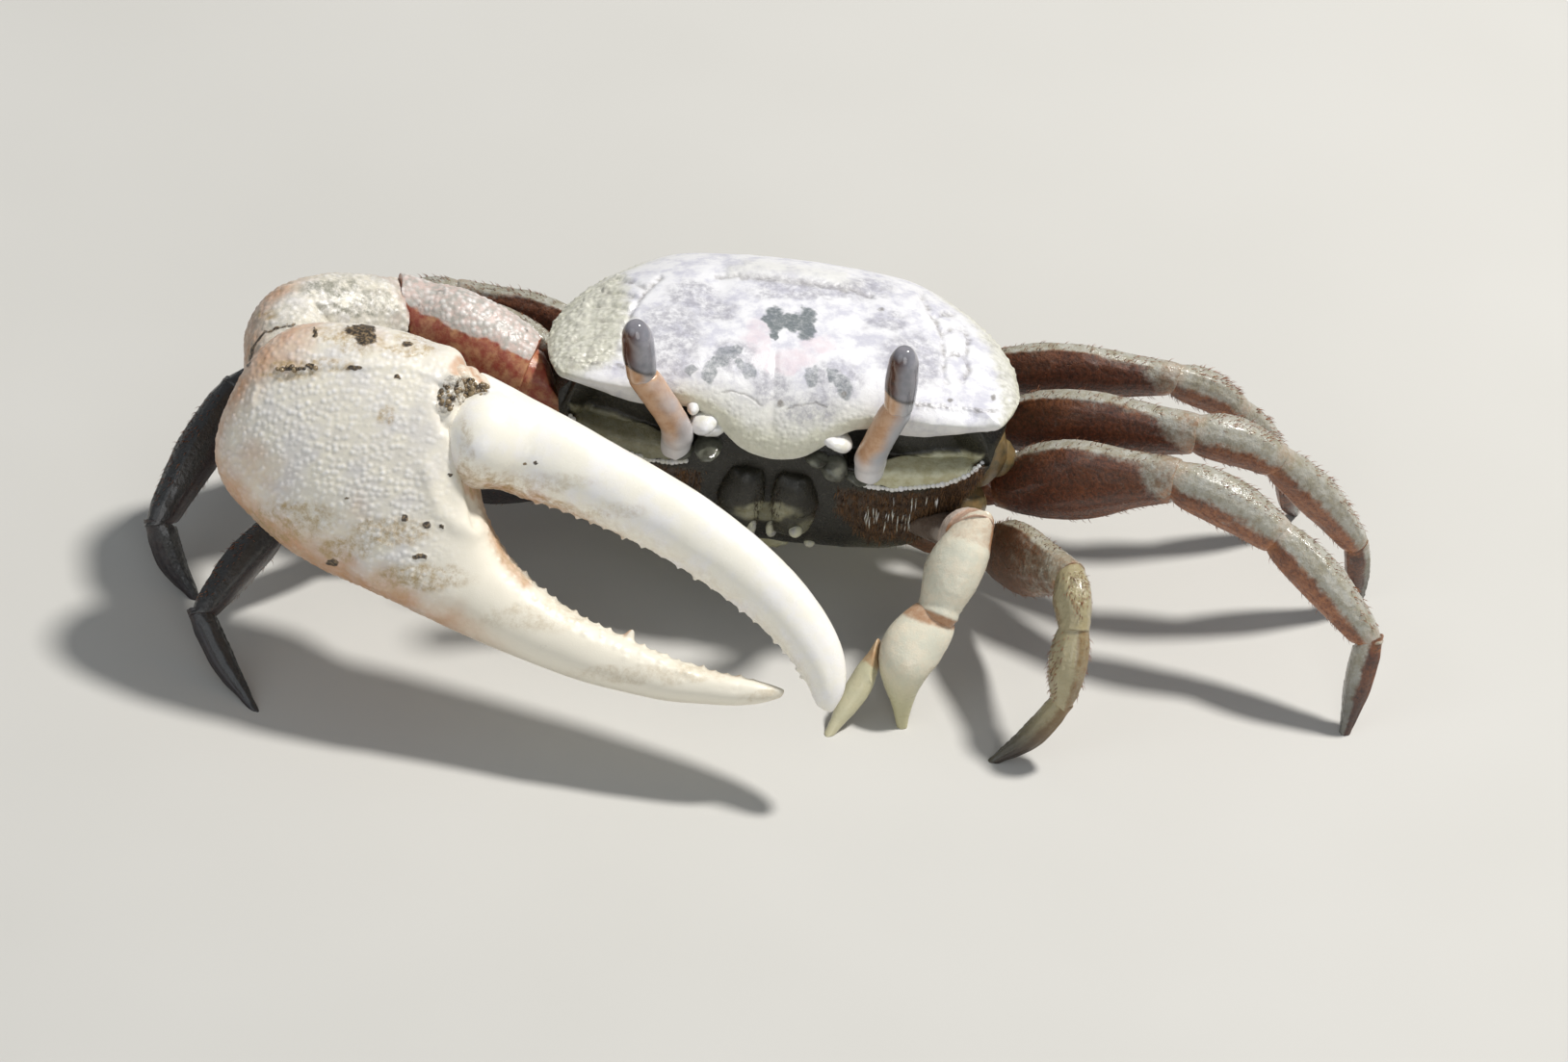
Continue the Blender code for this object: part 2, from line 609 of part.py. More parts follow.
def make_finger():
    """The movable finger, its root set against the palm's sloping hinge face."""
    low = Vector(HINGE_LOW)
    slope = (Vector(HINGE_TOP) - low).normalized()
    hinge_normal = Vector((slope.y, -slope.x))
    rings = []
    for index in range(FINGER_RINGS):
        share = index / (FINGER_RINGS - 1)
        centre, heading, rise = finger_frame(share)
        depth = finger_size(share, 1) / 2
        thickness = finger_size(share, 2) / 2
        ring = []
        for step in range(FINGER_SIDES):
            angle = 2 * math.pi * step / FINGER_SIDES
            flat = centre + rise * depth * math.sin(angle)
            if index < len(ROOT_BLEND):
                slide = (low + hinge_normal * GAP - flat).dot(hinge_normal) / heading.dot(hinge_normal)
                hinged = flat + heading * (slide + share * FINGER_LENGTH)
                flat = flat.lerp(hinged, ROOT_BLEND[index])
            ring.append(claw_point(flat.x, flat.y, thickness * math.cos(angle)))
        rings.append(ring)
    finger = make_node("major_finger", skin_rings(rings), "finger")
    holder = bpy.data.collections.new("finger_teeth")
    _, up, _ = claw_axes()
    for index in range(TOOTH_COUNT):
        share = FINGER_TEETH[0] + (FINGER_TEETH[1] - FINGER_TEETH[0]) * index / (TOOTH_COUNT - 1)
        centre, _, rise = finger_frame(share)
        edge = centre - rise * finger_size(share, 1) / 2
        tip = claw_point(edge.x - rise.x, edge.y - rise.y)
        place = claw_point(edge.x, edge.y)
        size = 0.8 + 0.2 * math.sin(1.9 * index)
        make_tooth(place, tip - place, TOOTH_HEIGHT * size, TOOTH_RADIUS * size, holder)
    fuse(finger, holder)


def make_major_arm(carrier, palm):
    base = Vector(MAJOR_BASE_JOINTS[1])
    elbow = Vector(MAJOR_ELBOW)
    bow = Vector(MAJOR_CARPUS_BOW)
    seat = surface_seat(carrier, base, MAJOR_BASE_JOINTS[0])
    side = Vector(MAJOR_ARM_SIDE)
    base_end = joint_plane(seat[0], base, elbow, -1)
    make_segment("major_base", [seat[0], base], side,
                 MAJOR_SECTIONS["base"], (seat, base_end), "arm", 12)
    arm_start = joint_plane(seat[0], base, elbow, 1)
    arm_end = joint_plane(base, elbow, bow, -1)
    make_segment("major_merus", bowed_axis(base, elbow, 0.5, 4), side,
                 MAJOR_SECTIONS["merus"], (arm_start, arm_end), "arm", 12, 0.6)
    wrist_start = joint_plane(base, elbow, bow, 1)
    wrist_seat = surface_seat(palm, bow, claw_point(*PALM_WRIST))
    axis = smooth_curve([elbow, bow, wrist_seat[0]], 5)
    make_segment("major_carpus", axis, Vector((0, 0, 1)),
                 MAJOR_SECTIONS["carpus"], (wrist_start, wrist_seat), "claw", 14, 0.5)


def make_minor_claw(carrier):
    joints = [Vector(point) for point in MINOR_JOINTS]
    palm_end = Vector(MINOR_PALM_END)
    side = Vector(MINOR_ARM_SIDE)
    seat = surface_seat(carrier, joints[1], joints[0])
    joints[0] = seat[0]
    joints.append(palm_end)
    start_plane = seat
    for index, part in enumerate(("base", "merus", "carpus")):
        start, end, after = joints[index:index + 3]
        end_plane = joint_plane(start, end, after, -1)
        axis = [start, end] if part == "base" else bowed_axis(start, end, 0.2, 3)
        make_segment(f"minor_{part}", axis, side, MINOR_SECTIONS[part],
                     (start_plane, end_plane), "minor", 10)
        start_plane = joint_plane(start, end, after, 1)
    wrist = joints[3]
    across = (Vector(MINOR_FINGER_ROOT) - palm_end).normalized()
    tip = Vector(MINOR_FIXED_TIP)
    middle = (wrist + palm_end) / 2 + across * MINOR_PALM_BOW
    axis = smooth_curve([wrist, middle, palm_end, tip], 3)
    floor = (tip, Vector((0, 0, -1)))
    facing = across.cross(palm_end - wrist).normalized()
    make_segment("minor_palm", axis, facing, MINOR_SECTIONS["palm"], (start_plane, floor), "minor", 12, 0.3)
    root = Vector(MINOR_FINGER_ROOT)
    finger_tip = Vector(MINOR_FINGER_TIP)
    root_plane = surface_seat(bpy.data.objects["minor_palm"], root, (wrist + palm_end) / 2)
    axis = smooth_curve([root_plane[0], (root_plane[0] + finger_tip) / 2, finger_tip], 3)
    floor = (finger_tip, Vector((0, 0, -1)))
    make_segment("minor_finger", axis, facing, MINOR_SECTIONS["finger"], (root_plane, floor), "minor", 8)


def make_eyes(carrier):
    for name, (base, *upper) in EYE_POINTS.items():
        over = Vector((base[0], base[1], CARAPACE_CORE_HEIGHT))
        seat = surface_seat(carrier, over, over - Vector((0, 0, 1)))
        bend, middle, tip = [Vector(point) for point in upper]
        heading = (tip - middle).normalized()
        side = Vector((1, 0, 0))
        sections = [(radius, radius) for radius in (STALK_RADIUS, STALK_RADIUS, STALK_END_RADIUS)]
        end_plane = (middle - heading * GAP / 2, heading)
        axis = smooth_curve([seat[0], bend, middle], 4)
        make_segment(f"eyestalk_{name}", axis, side, sections, (seat, end_plane), "stalk", 10, 0.5)
        make_cornea(name, middle + heading * GAP / 2, tip, side)


def make_cornea(name, start, tip, side):
    """The long eye, a flat-ended capsule on the stalk."""
    heading = (tip - start).normalized()
    across = (side - heading * side.dot(heading)).normalized()
    deep = heading.cross(across)
    length = (tip - start).length
    rings = []
    for share in CORNEA_RINGS:
        swell = 0.9 + 0.16 * math.sin(math.pi * min(share * 1.2, 1.0))
        rounding = max(0.0, (share - CORNEA_ROUND_START) / (1.01 - CORNEA_ROUND_START))
        radius = EYE_RADIUS * swell * math.sqrt(1 - rounding ** 2)
        centre = start + heading * length * share
        ring = []
        for step in range(CORNEA_SIDES):
            angle = 2 * math.pi * step / CORNEA_SIDES
            ring.append(centre + (across * math.cos(angle) + deep * math.sin(angle)) * radius)
        rings.append(ring)
    rings.append([tip])
    make_node(f"eye_{name}", skin_rings(rings), "cornea")


def level_line(sign):
    """Heights and y places of the lower body's front (-1) or back (1) along its middle."""
    centre_y = CARAPACE_CENTRE[1]
    edge = FACE_FRONT if sign < 0 else SIDE_MARGIN[-1][1]
    return [Vector((0, centre_y + scale * (edge - centre_y), height)) for height, _, scale in LOWER_LEVELS]


def lifted_line(line, distance, away):
    """A line in the middle plane moved off its surface by a distance."""
    moved = []
    for index, point in enumerate(line):
        along = line[min(index + 1, len(line) - 1)] - line[max(index - 1, 0)]
        normal = Vector((0, along.z, -along.y)).normalized()
        if normal.dot(away) < 0:
            normal = -normal
        moved.append(point + normal * distance)
    return moved


def make_mouth():
    """The two outer mouth plates that close the face like doors."""
    width, depth = MOUTH_HALF
    line = lifted_line(level_line(-1)[:4], depth + PLATE_GAP, Vector((0, -1, 0)))
    sections = ((0.8 * width, depth), (width, depth), (0.7 * width, depth))
    for name, sign in (("left", 1), ("right", -1)):
        across = Vector((MOUTH_PLACE * sign, 0, 0))
        axis = smooth_curve([point + across for point in line], 2)
        make_segment(f"mouth_{name}", axis, Vector((1, 0, 0)), sections, (None, None), "mouth", 10)


def make_abdomen():
    """The narrow tail plate of a male, folded forward under the body."""
    line = level_line(1) + [Vector((0, ABDOMEN_FRONT, LOWER_BOTTOM))]
    line = lifted_line(line, ABDOMEN_HALF_THICKNESS + PLATE_GAP, Vector((0, 0.7, -1)))
    axis = smooth_curve(line, 2)
    wide, narrow = ABDOMEN_HALF_WIDTHS
    sections = ((0.8 * wide, ABDOMEN_HALF_THICKNESS), (wide, ABDOMEN_HALF_THICKNESS),
                (narrow, ABDOMEN_HALF_THICKNESS))
    make_segment("abdomen", axis, Vector((1, 0, 0)), sections, (None, None), "belly", 10, ABDOMEN_PEAK)


def centre_on_floor():
    """Moves every mesh so that the whole stands over the origin."""
    nodes = [item for item in bpy.data.objects if item.type == "MESH"]
    corners = [vertex.co for node in nodes for vertex in node.data.vertices]
    middle_x = (min(c.x for c in corners) + max(c.x for c in corners)) / 2
    middle_y = (min(c.y for c in corners) + max(c.y for c in corners)) / 2
    for node in nodes:
        for vertex in node.data.vertices:
            vertex.co.x -= middle_x
            vertex.co.y -= middle_y


def build():
    clear_scene()
    outline = full_outline()
    make_carapace(outline)
    underside = make_underside(outline)
    make_eyes(underside)
    make_mouth()
    make_abdomen()
    palm = make_palm()
    make_finger()
    make_major_arm(underside, palm)
    make_minor_claw(underside)
    for name in LEG_JOINTS:
        make_leg(name, underside)
    centre_on_floor()


build()
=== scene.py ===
"""Looks of the still fiddler crab: skins, granules, hairs, joint skins, colours, camera and light.

Lengths inside the shape functions are millimetres in the frame's own place, and MM turns them
into Blender's metres. The crab faces -Y, its left side is +X and +Z is up.
"""
import bpy
import bmesh
import itertools
import math
import random
import numpy as np
from mathutils import Matrix, Vector
from mathutils.bvhtree import BVHTree


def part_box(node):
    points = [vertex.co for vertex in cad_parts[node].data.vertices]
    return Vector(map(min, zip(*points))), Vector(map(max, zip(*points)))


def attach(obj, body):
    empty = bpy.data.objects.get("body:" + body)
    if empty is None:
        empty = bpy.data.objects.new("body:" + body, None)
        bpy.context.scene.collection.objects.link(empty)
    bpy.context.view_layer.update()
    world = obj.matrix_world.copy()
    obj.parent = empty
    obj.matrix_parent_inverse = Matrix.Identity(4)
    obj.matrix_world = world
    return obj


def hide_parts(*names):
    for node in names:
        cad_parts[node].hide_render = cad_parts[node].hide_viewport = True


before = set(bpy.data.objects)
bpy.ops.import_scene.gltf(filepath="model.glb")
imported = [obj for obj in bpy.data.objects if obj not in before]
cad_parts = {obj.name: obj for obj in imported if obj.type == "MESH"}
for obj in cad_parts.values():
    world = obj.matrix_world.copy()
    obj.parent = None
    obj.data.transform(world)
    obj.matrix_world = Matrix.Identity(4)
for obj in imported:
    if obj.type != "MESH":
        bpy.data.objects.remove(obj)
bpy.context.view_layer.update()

MM = 0.001

# The photo's frame and the view that fits it
IMAGE_WIDTH = 1628
IMAGE_HEIGHT = 1103
PIXELS_PER_MM = 14.7
VIEW_DISTANCE = 800.0
VIEW_ELEVATION = math.radians(38)
VIEW_ROLL = math.radians(7)
AIM_DESIGN = (0.0, -10.6, 15.1)
AIM_PIXEL = (802, 476)
SENSOR_WIDTH = 36.0

# The carapace's back edge lies this far behind the design's zero line
CARAPACE_BACK = 10.8


def design_shift():
    low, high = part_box("carapace")
    return Vector(((low.x + high.x) / 2 / MM, high.y / MM - CARAPACE_BACK, 0))


SHIFT = design_shift()


def placed(x, y, z):
    """A design place, measured from the carapace's middle, as millimetres in the frame."""
    return Vector((x, y, z)) + SHIFT


def view_axes():
    """The view's right, up and backward directions."""
    back = Vector((0, -math.cos(VIEW_ELEVATION), math.sin(VIEW_ELEVATION)))
    right = Vector((1, 0, 0))
    up = back.cross(right)
    turned_right = right * math.cos(VIEW_ROLL) + up * math.sin(VIEW_ROLL)
    turned_up = up * math.cos(VIEW_ROLL) - right * math.sin(VIEW_ROLL)
    return turned_right, turned_up, back


def view_place():
    right, up, back = view_axes()
    off_x = (IMAGE_WIDTH / 2 - AIM_PIXEL[0]) / PIXELS_PER_MM
    off_y = (AIM_PIXEL[1] - IMAGE_HEIGHT / 2) / PIXELS_PER_MM
    return placed(*AIM_DESIGN) + right * off_x + up * off_y + back * VIEW_DISTANCE


def pixel_ray(pixel):
    """Direction from the view's place through a pixel of the photo's frame."""
    right, up, back = view_axes()
    across = (pixel[0] - IMAGE_WIDTH / 2) / PIXELS_PER_MM
    down = (pixel[1] - IMAGE_HEIGHT / 2) / PIXELS_PER_MM
    return (right * across - up * down - back * VIEW_DISTANCE).normalized()


def make_camera():
    right, up, back = view_axes()
    data = bpy.data.cameras.new("photo_view")
    data.sensor_width = SENSOR_WIDTH
    data.lens = SENSOR_WIDTH * VIEW_DISTANCE * PIXELS_PER_MM / IMAGE_WIDTH
    data.clip_start = 0.01
    camera = bpy.data.objects.new("photo_view", data)
    place = Matrix((right, up, back)).transposed().to_4x4()
    place.translation = view_place() * MM
    camera.matrix_world = place
    bpy.context.scene.collection.objects.link(camera)
    bpy.context.scene.camera = camera


def tint(*screen):
    """A colour given as 0 to 255 screen values, in the shader's linear values."""
    return tuple(((c / 255 + 0.055) / 1.055) ** 2.4 for c in screen) + (1.0,)


# Arrays of points

def points_of(mesh):
    flat = np.empty(len(mesh.vertices) * 3, np.float64)
    mesh.vertices.foreach_get("co", flat)
    return flat.reshape(-1, 3) / MM


def normals_of(mesh):
    flat = np.empty(len(mesh.vertices) * 3, np.float32)
    mesh.vertex_normals.foreach_get("vector", flat)
    return flat.reshape(-1, 3).astype(np.float64)


def move_points(mesh, points):
    mesh.vertices.foreach_set("co", (points * MM).astype(np.float32).ravel())
    mesh.update()


def paint(mesh, name, values):
    layer = mesh.attributes.get(name) or mesh.attributes.new(name, "FLOAT", "POINT")
    layer.data.foreach_set("value", np.asarray(values, np.float32))


def ease(values, low, high):
    """0 below low, 1 above high and a smooth rise between; high may be the lower."""
    t = np.clip((values - low) / (high - low), 0, 1)
    return t * t * (3 - 2 * t)


def bell(values, middle, width):
    """1 at the middle, fading away on both sides of it."""
    return np.exp(-((values - middle) / width) ** 2)


def most(*masks):
    """The largest of several values at each point."""
    return np.maximum.reduce(masks)


def lattice(cells, seed):
    """Repeatable numbers from 0 to 1 for whole-number places."""
    mixed = (cells[..., 0] * 73856093) ^ (cells[..., 1] * 19349663) ^ (cells[..., 2] * 83492791)
    mixed = (mixed ^ (seed * 40503)) & 0xFFFFFFFF
    mixed = ((mixed ^ (mixed >> 15)) * 2246822519) & 0xFFFFFFFF
    mixed = ((mixed ^ (mixed >> 13)) * 3266489917) & 0xFFFFFFFF
    return ((mixed ^ (mixed >> 16)) & 0xFFFF) / 65535.0


def soft_noise(points, size, seed=0):
    """Smooth noise from -1 to 1 whose lumps are about size across."""
    scaled = points / size
    base = np.floor(scaled).astype(np.int64)
    t = scaled - base
    t = t * t * (3 - 2 * t)
    total = np.zeros(len(points))
    for corner in itertools.product((0, 1), repeat=3):
        weight = np.prod(np.where(np.array(corner) == 1, t, 1 - t), axis=1)
        total += weight * lattice(base + np.array(corner), seed)
    return total * 2 - 1


def layered_noise(points, size, layers=3, seed=0):
    total = np.zeros(len(points))
    for layer in range(layers):
        total += soft_noise(points, size / 2 ** layer, seed + layer) / 2 ** layer
    return total / (2 - 2 ** (1 - layers))


def scattered(points, size, seed=0):
    """Distance to the nearest of many scattered places, in sizes, and that place's number."""
    scaled = points / size
    base = np.floor(scaled).astype(np.int64)
    nearest = np.full(len(points), 9.0)
    number = np.zeros(len(points))
    for step in itertools.product((-1, 0, 1), repeat=3):
        cell = base + np.array(step)
        places = cell + np.stack([0.15 + 0.7 * lattice(cell, seed + axis) for axis in range(3)], axis=1)
        distance = np.linalg.norm(places - scaled, axis=1)
        closer = distance < nearest
        nearest = np.where(closer, distance, nearest)
        number = np.where(closer, lattice(cell, seed + 7), number)
    return nearest, number


def granules(points, size, seed, width=0.56):
    """Heights from 0 to 1 of rounded granules about size apart, and a number for each."""
    distance, number = scattered(points, size, seed)
    return np.clip(1 - (distance / width) ** 2, 0, 1), number


def to_line(points, line):
    """Each point's distance to a line of places."""
    line = np.array([tuple(p) for p in line])
    best = np.full(len(points), 1e9)
    for start, end in zip(line, line[1:]):
        span = end - start
        share = np.clip((points - start) @ span / (span @ span), 0, 1)
        best = np.minimum(best, np.linalg.norm(points - (start + share[:, None] * span), axis=1))
    return best


def to_pixels(points):
    """Photo pixels where places show."""
    right, up, back = (np.array(axis) for axis in view_axes())
    offset = points - np.array(view_place())
    scale = -VIEW_DISTANCE * PIXELS_PER_MM / (offset @ back)
    across, rise = offset @ right * scale, offset @ up * scale
    return np.stack([IMAGE_WIDTH / 2 + across, IMAGE_HEIGHT / 2 - rise], axis=1)


def mirrored(points):
    """The same places on the body's other side."""
    return np.stack([2 * SHIFT.x - points[:, 0], points[:, 1], points[:, 2]], axis=1)


def ragged_pixels(points, size=0.8, reach=3.0):
    """Photo pixels of places, shifted a little by noise so that marks get uneven edges."""
    shift = np.stack([soft_noise(points, size, 11), soft_noise(points, size, 12)], axis=1)
    return to_pixels(points) + reach * shift


def either(pixel_sets, mask, *settings):
    """The stronger of a mask's values on several sets of pixels, as for a side and its mirror image."""
    return most(*(mask(pixels, *settings) for pixels in pixel_sets))


def facing_view(normals, low=0.0, high=0.2):
    """1 where a skin faces the camera, and 0 where the photo can't show it."""
    return ease(normals @ np.array(view_axes()[2]), low, high)


def spots(pixels, *ovals):
    """1 inside ovals given as middle x, middle y, half width and half height, fading at their rims."""
    total = np.zeros(len(pixels))
    for x, y, wide, high in ovals:
        reach = np.hypot((pixels[:, 0] - x) / wide, (pixels[:, 1] - y) / high)
        total = np.maximum(total, ease(reach, 1.25, 0.7))
    return total


def strokes(pixels, width, *lines):
    """1 on the lines, fading to nothing about a width away."""
    nearest = np.minimum.reduce([to_line(pixels, line) for line in lines])
    return np.exp(-(1.6 * nearest / width) ** 2)


def inside(pixels, outline, fade):
    """1 inside a closed outline, fading over some pixels at its edge."""
    closed = outline + outline[:1]
    distance = to_line(pixels, closed)
    x, y = pixels.T
    within = np.zeros(len(pixels), bool)
    for (x1, y1), (x2, y2) in zip(closed, closed[1:]):
        level = (y1 > y) != (y2 > y)
        within ^= level & (x < (x2 - x1) * (y - y1) / (y2 - y1 + 1e-9) + x1)
    return ease(np.where(within, distance, -distance), -fade / 2, fade / 2)


def along_line(line, share):
    """The place at a share of a line's length."""
    line = [Vector(p) for p in line]
    spans = [(b - a).length for a, b in zip(line, line[1:])]
    left = share * sum(spans)
    for start, end, span in zip(line, line[1:], spans):
        if left <= span:
            return start.lerp(end, left / span)
        left -= span
    return line[-1]


# Fine copies of the frame's nodes

def quads_again(shape):
    bmesh.ops.remove_doubles(shape, verts=shape.verts, dist=1e-7)
    bmesh.ops.join_triangles(
        shape, faces=shape.faces, angle_face_threshold=math.radians(35),
        angle_shape_threshold=math.radians(55))


def add_ball(shape, place, radii, turn, fineness):
    """A rounded knob with half sizes along the turn's own axes."""
    sizes = Matrix.Diagonal([r * MM for r in radii] + [1])
    matrix = Matrix.Translation(Vector(place) * MM) @ turn.to_4x4() @ sizes
    bmesh.ops.create_icosphere(shape, subdivisions=fineness, radius=1, matrix=matrix)


def fine_mesh(node, levels, sharp_from=50, crease=1.0, voxel=None, lumps=()):
    """A node's mesh with its quads restored, made finer and smooth between its sharp edges."""
    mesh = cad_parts[node].data.copy()
    mesh.materials.clear()
    shape = bmesh.new()
    shape.from_mesh(mesh)
    quads_again(shape)
    layer = shape.edges.layers.float.new("crease_edge")
    for edge in shape.edges:
        if len(edge.link_faces) == 2 and edge.calc_face_angle() > math.radians(sharp_from):
            edge[layer] = crease
    for place, radii, turn in lumps:
        add_ball(shape, place, radii, turn, 3)
    shape.to_mesh(mesh)
    shape.free()
    holder = bpy.data.objects.new("holder", mesh)
    bpy.context.scene.collection.objects.link(holder)
    finer = holder.modifiers.new("finer", "SUBSURF")
    finer.levels = levels
    finer.render_levels = levels
    if voxel:
        even = holder.modifiers.new("even", "REMESH")
        even.mode = "VOXEL"
        even.voxel_size = voxel * MM
    graph = bpy.context.evaluated_depsgraph_get()
    result = bpy.data.meshes.new_from_object(holder.evaluated_get(graph))
    bpy.data.objects.remove(holder, do_unlink=True)
    bpy.data.meshes.remove(mesh)
    for extra in list(result.attributes):
        if extra.name in ("crease_edge", "sharp_edge", "sharp_face", "UVMap", "material_index"):
            result.attributes.remove(extra)
    result.shade_smooth()
    return result


# How far a point goes towards its neighbours' middle in one round
SOFTENING = 0.6


def softened(mesh, points, share, rounds):
    """Points drawn towards their neighbours, as far as each one's share says, some rounds over."""
    ends = np.empty(len(mesh.edges) * 2, np.int32)
    mesh.edges.foreach_get("vertices", ends)
    first, second = ends.reshape(-1, 2).T
    total = len(points)
    neighbours = np.bincount(ends, minlength=total)[:, None]
    for _ in range(rounds):
        sums = [np.bincount(here, points[there, axis], total)
                for axis in range(3) for here, there in ((first, second), (second, first))]
        mean = (np.stack(sums[::2], axis=1) + np.stack(sums[1::2], axis=1)) / neighbours
        points = points + share[:, None] * SOFTENING * (mean - points)
    return points


def raise_skin(mesh, points, normals, height, shift=0.0):
    """Puts a mesh's points at places that stand out by a height, moved by a shift."""
    move_points(mesh, points + normals * height[:, None] + shift)


def layer_values(mesh, name):
    values = np.empty(len(mesh.vertices), np.float32)
    mesh.attributes[name].data.foreach_get("value", values)
    return values.astype(np.float64)


def add_piece(name, mesh, slot, material, *nodes):
    """Links a piece that rides on the one body and stands for the given nodes."""
    piece = bpy.data.objects.new(name, mesh)
    bpy.context.scene.collection.objects.link(piece)
    mesh.materials.clear()
    mesh.materials.append(material)
    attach(piece, "root")
    if nodes:
        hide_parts(*nodes)
    return piece


def make_balls(name, balls, slot, material, fineness, uneven=0.0):
    """One piece of rounded knobs, each given as place, half sizes and the way its length points."""
    shape = bmesh.new()
    for place, radii, lean in balls:
        add_ball(shape, place, radii, Vector(lean).to_track_quat("Z", "Y").to_matrix(), fineness)
    mesh = bpy.data.meshes.new(name)
    shape.to_mesh(mesh)
    shape.free()
    mesh.shade_smooth()
    points = points_of(mesh)
    raise_skin(mesh, points, normals_of(mesh), uneven * layered_noise(points, 0.9, 3, 19))
    return add_piece(name, mesh, slot, material)


def unit(vectors):
    return vectors / np.maximum(np.linalg.norm(vectors, axis=-1, keepdims=True), 1e-9)


class Hairs:
    """Short tapered bristles on skins, joined into one piece.

    In the map OFBake each bristle is a small patch at its root's place on an unwrap of its skin,
    which goes round the skin's long axis and along it, with one strip for each skin.
    """
    SIDES = 3
    SINK = 0.06
    PATCH = 0.003

    def __init__(self, name):
        self.name = name
        self.places = []
        self.patches = []

    def grow(self, mesh, share, count, length, width, lean, lay, seed, scatter=0.18):
        """Adds bristles where share is high; lay goes from 0, upright, to 1, flat along lean."""
        draw = np.random.default_rng(seed)
        mesh.calc_loop_triangles()
        corners = np.empty(len(mesh.loop_triangles) * 3, np.int32)
        mesh.loop_triangles.foreach_get("vertices", corners)
        corners = corners.reshape(-1, 3)
        points, normals = points_of(mesh), normals_of(mesh)
        a, b, c = (points[corners[:, i]] for i in range(3))
        area = np.linalg.norm(np.cross(b - a, c - a), axis=1)
        total = np.cumsum(area * np.clip(share[corners].mean(axis=1), 0, None))
        if total[-1] <= 1e-6:
            return
        picked = corners[np.searchsorted(total, draw.random(count) * total[-1])]
        mix = draw.dirichlet((1, 1, 1), count)[:, :, None]
        roots = (points[picked] * mix).sum(axis=1)
        out = unit((normals[picked] * mix).sum(axis=1))
        lean = np.array(tuple(lean), np.float64)
        lie = unit(lean - out * (out @ lean)[:, None])
        jitter = draw.normal(0, scatter, (count, 3))
        rise = unit(out * (1 - lay) + lie * lay + jitter)
        bend = unit(rise + lie * 0.6)
        size = (length * draw.uniform(0.55, 1.2, count))[:, None]
        roots = roots - out * self.SINK
        middle = roots + rise * size * 0.5
        tips = middle + bend * size * 0.5
        side = unit(np.cross(rise, out + 0.3 * jitter + 0.01))
        other = np.cross(rise, side)
        rings = []
        for base, radius in ((roots, width), (middle, width * 0.7)):
            for step in range(self.SIDES):
                angle = 2 * math.pi * step / self.SIDES
                rings.append(base + (side * math.cos(angle) + other * math.sin(angle)) * radius)
        self.places.append(np.stack(rings + [tips], axis=1))
        self.patches.append(self.unwrap(points, roots))

    def unwrap(self, points, roots):
        middle = points.mean(axis=0)
        axes = np.linalg.svd(points[::7] - middle, full_matrices=False)[2]
        along = (points - middle) @ axes[0]
        offset = roots - middle
        turn = np.arctan2(offset @ axes[1], offset @ axes[2]) / (2 * math.pi) + 0.5
        share = (offset @ axes[0] - along.min()) / (along.max() - along.min())
        return np.stack([turn, share], axis=1)

    def finish(self, slot, material):
        strips = len(self.patches)
        starts = np.concatenate([
            np.stack([p[:, 0], (p[:, 1] + strip) / strips], axis=1) for strip, p in enumerate(self.patches)])
        places = np.concatenate(self.places)
        count, ring = places.shape[:2]
        sides, tip = self.SIDES, ring - 1
        faces = [tuple(range(sides))[::-1]]
        for step in range(sides):
            after = (step + 1) % sides
            faces.append((step, after, sides + after, sides + step))
            faces.append((sides + step, sides + after, tip))
        mesh = bpy.data.meshes.new(self.name)
        every = [tuple(v + ring * n for v in face) for n in range(count) for face in faces]
        mesh.from_pydata((places.reshape(-1, 3) * MM).tolist(), [], every)
        corner = np.empty(len(mesh.loops), np.int32)
        mesh.loops.foreach_get("vertex_index", corner)
        inner = np.array([(s / sides, r / 2) for r in (0, 1) for s in range(sides)] + [(0.5, 1.0)]) - 0.5
        spread = np.clip(starts, self.PATCH, 1 - self.PATCH)[:, None, :] + inner[None] * self.PATCH
        flat = spread.reshape(-1, 2)[corner]
        mesh.uv_layers.new(name="OFBake").data.foreach_set("uv", flat.astype(np.float32).ravel())
        mesh.shade_smooth()
        return add_piece(self.name, mesh, slot, material)


# Materials

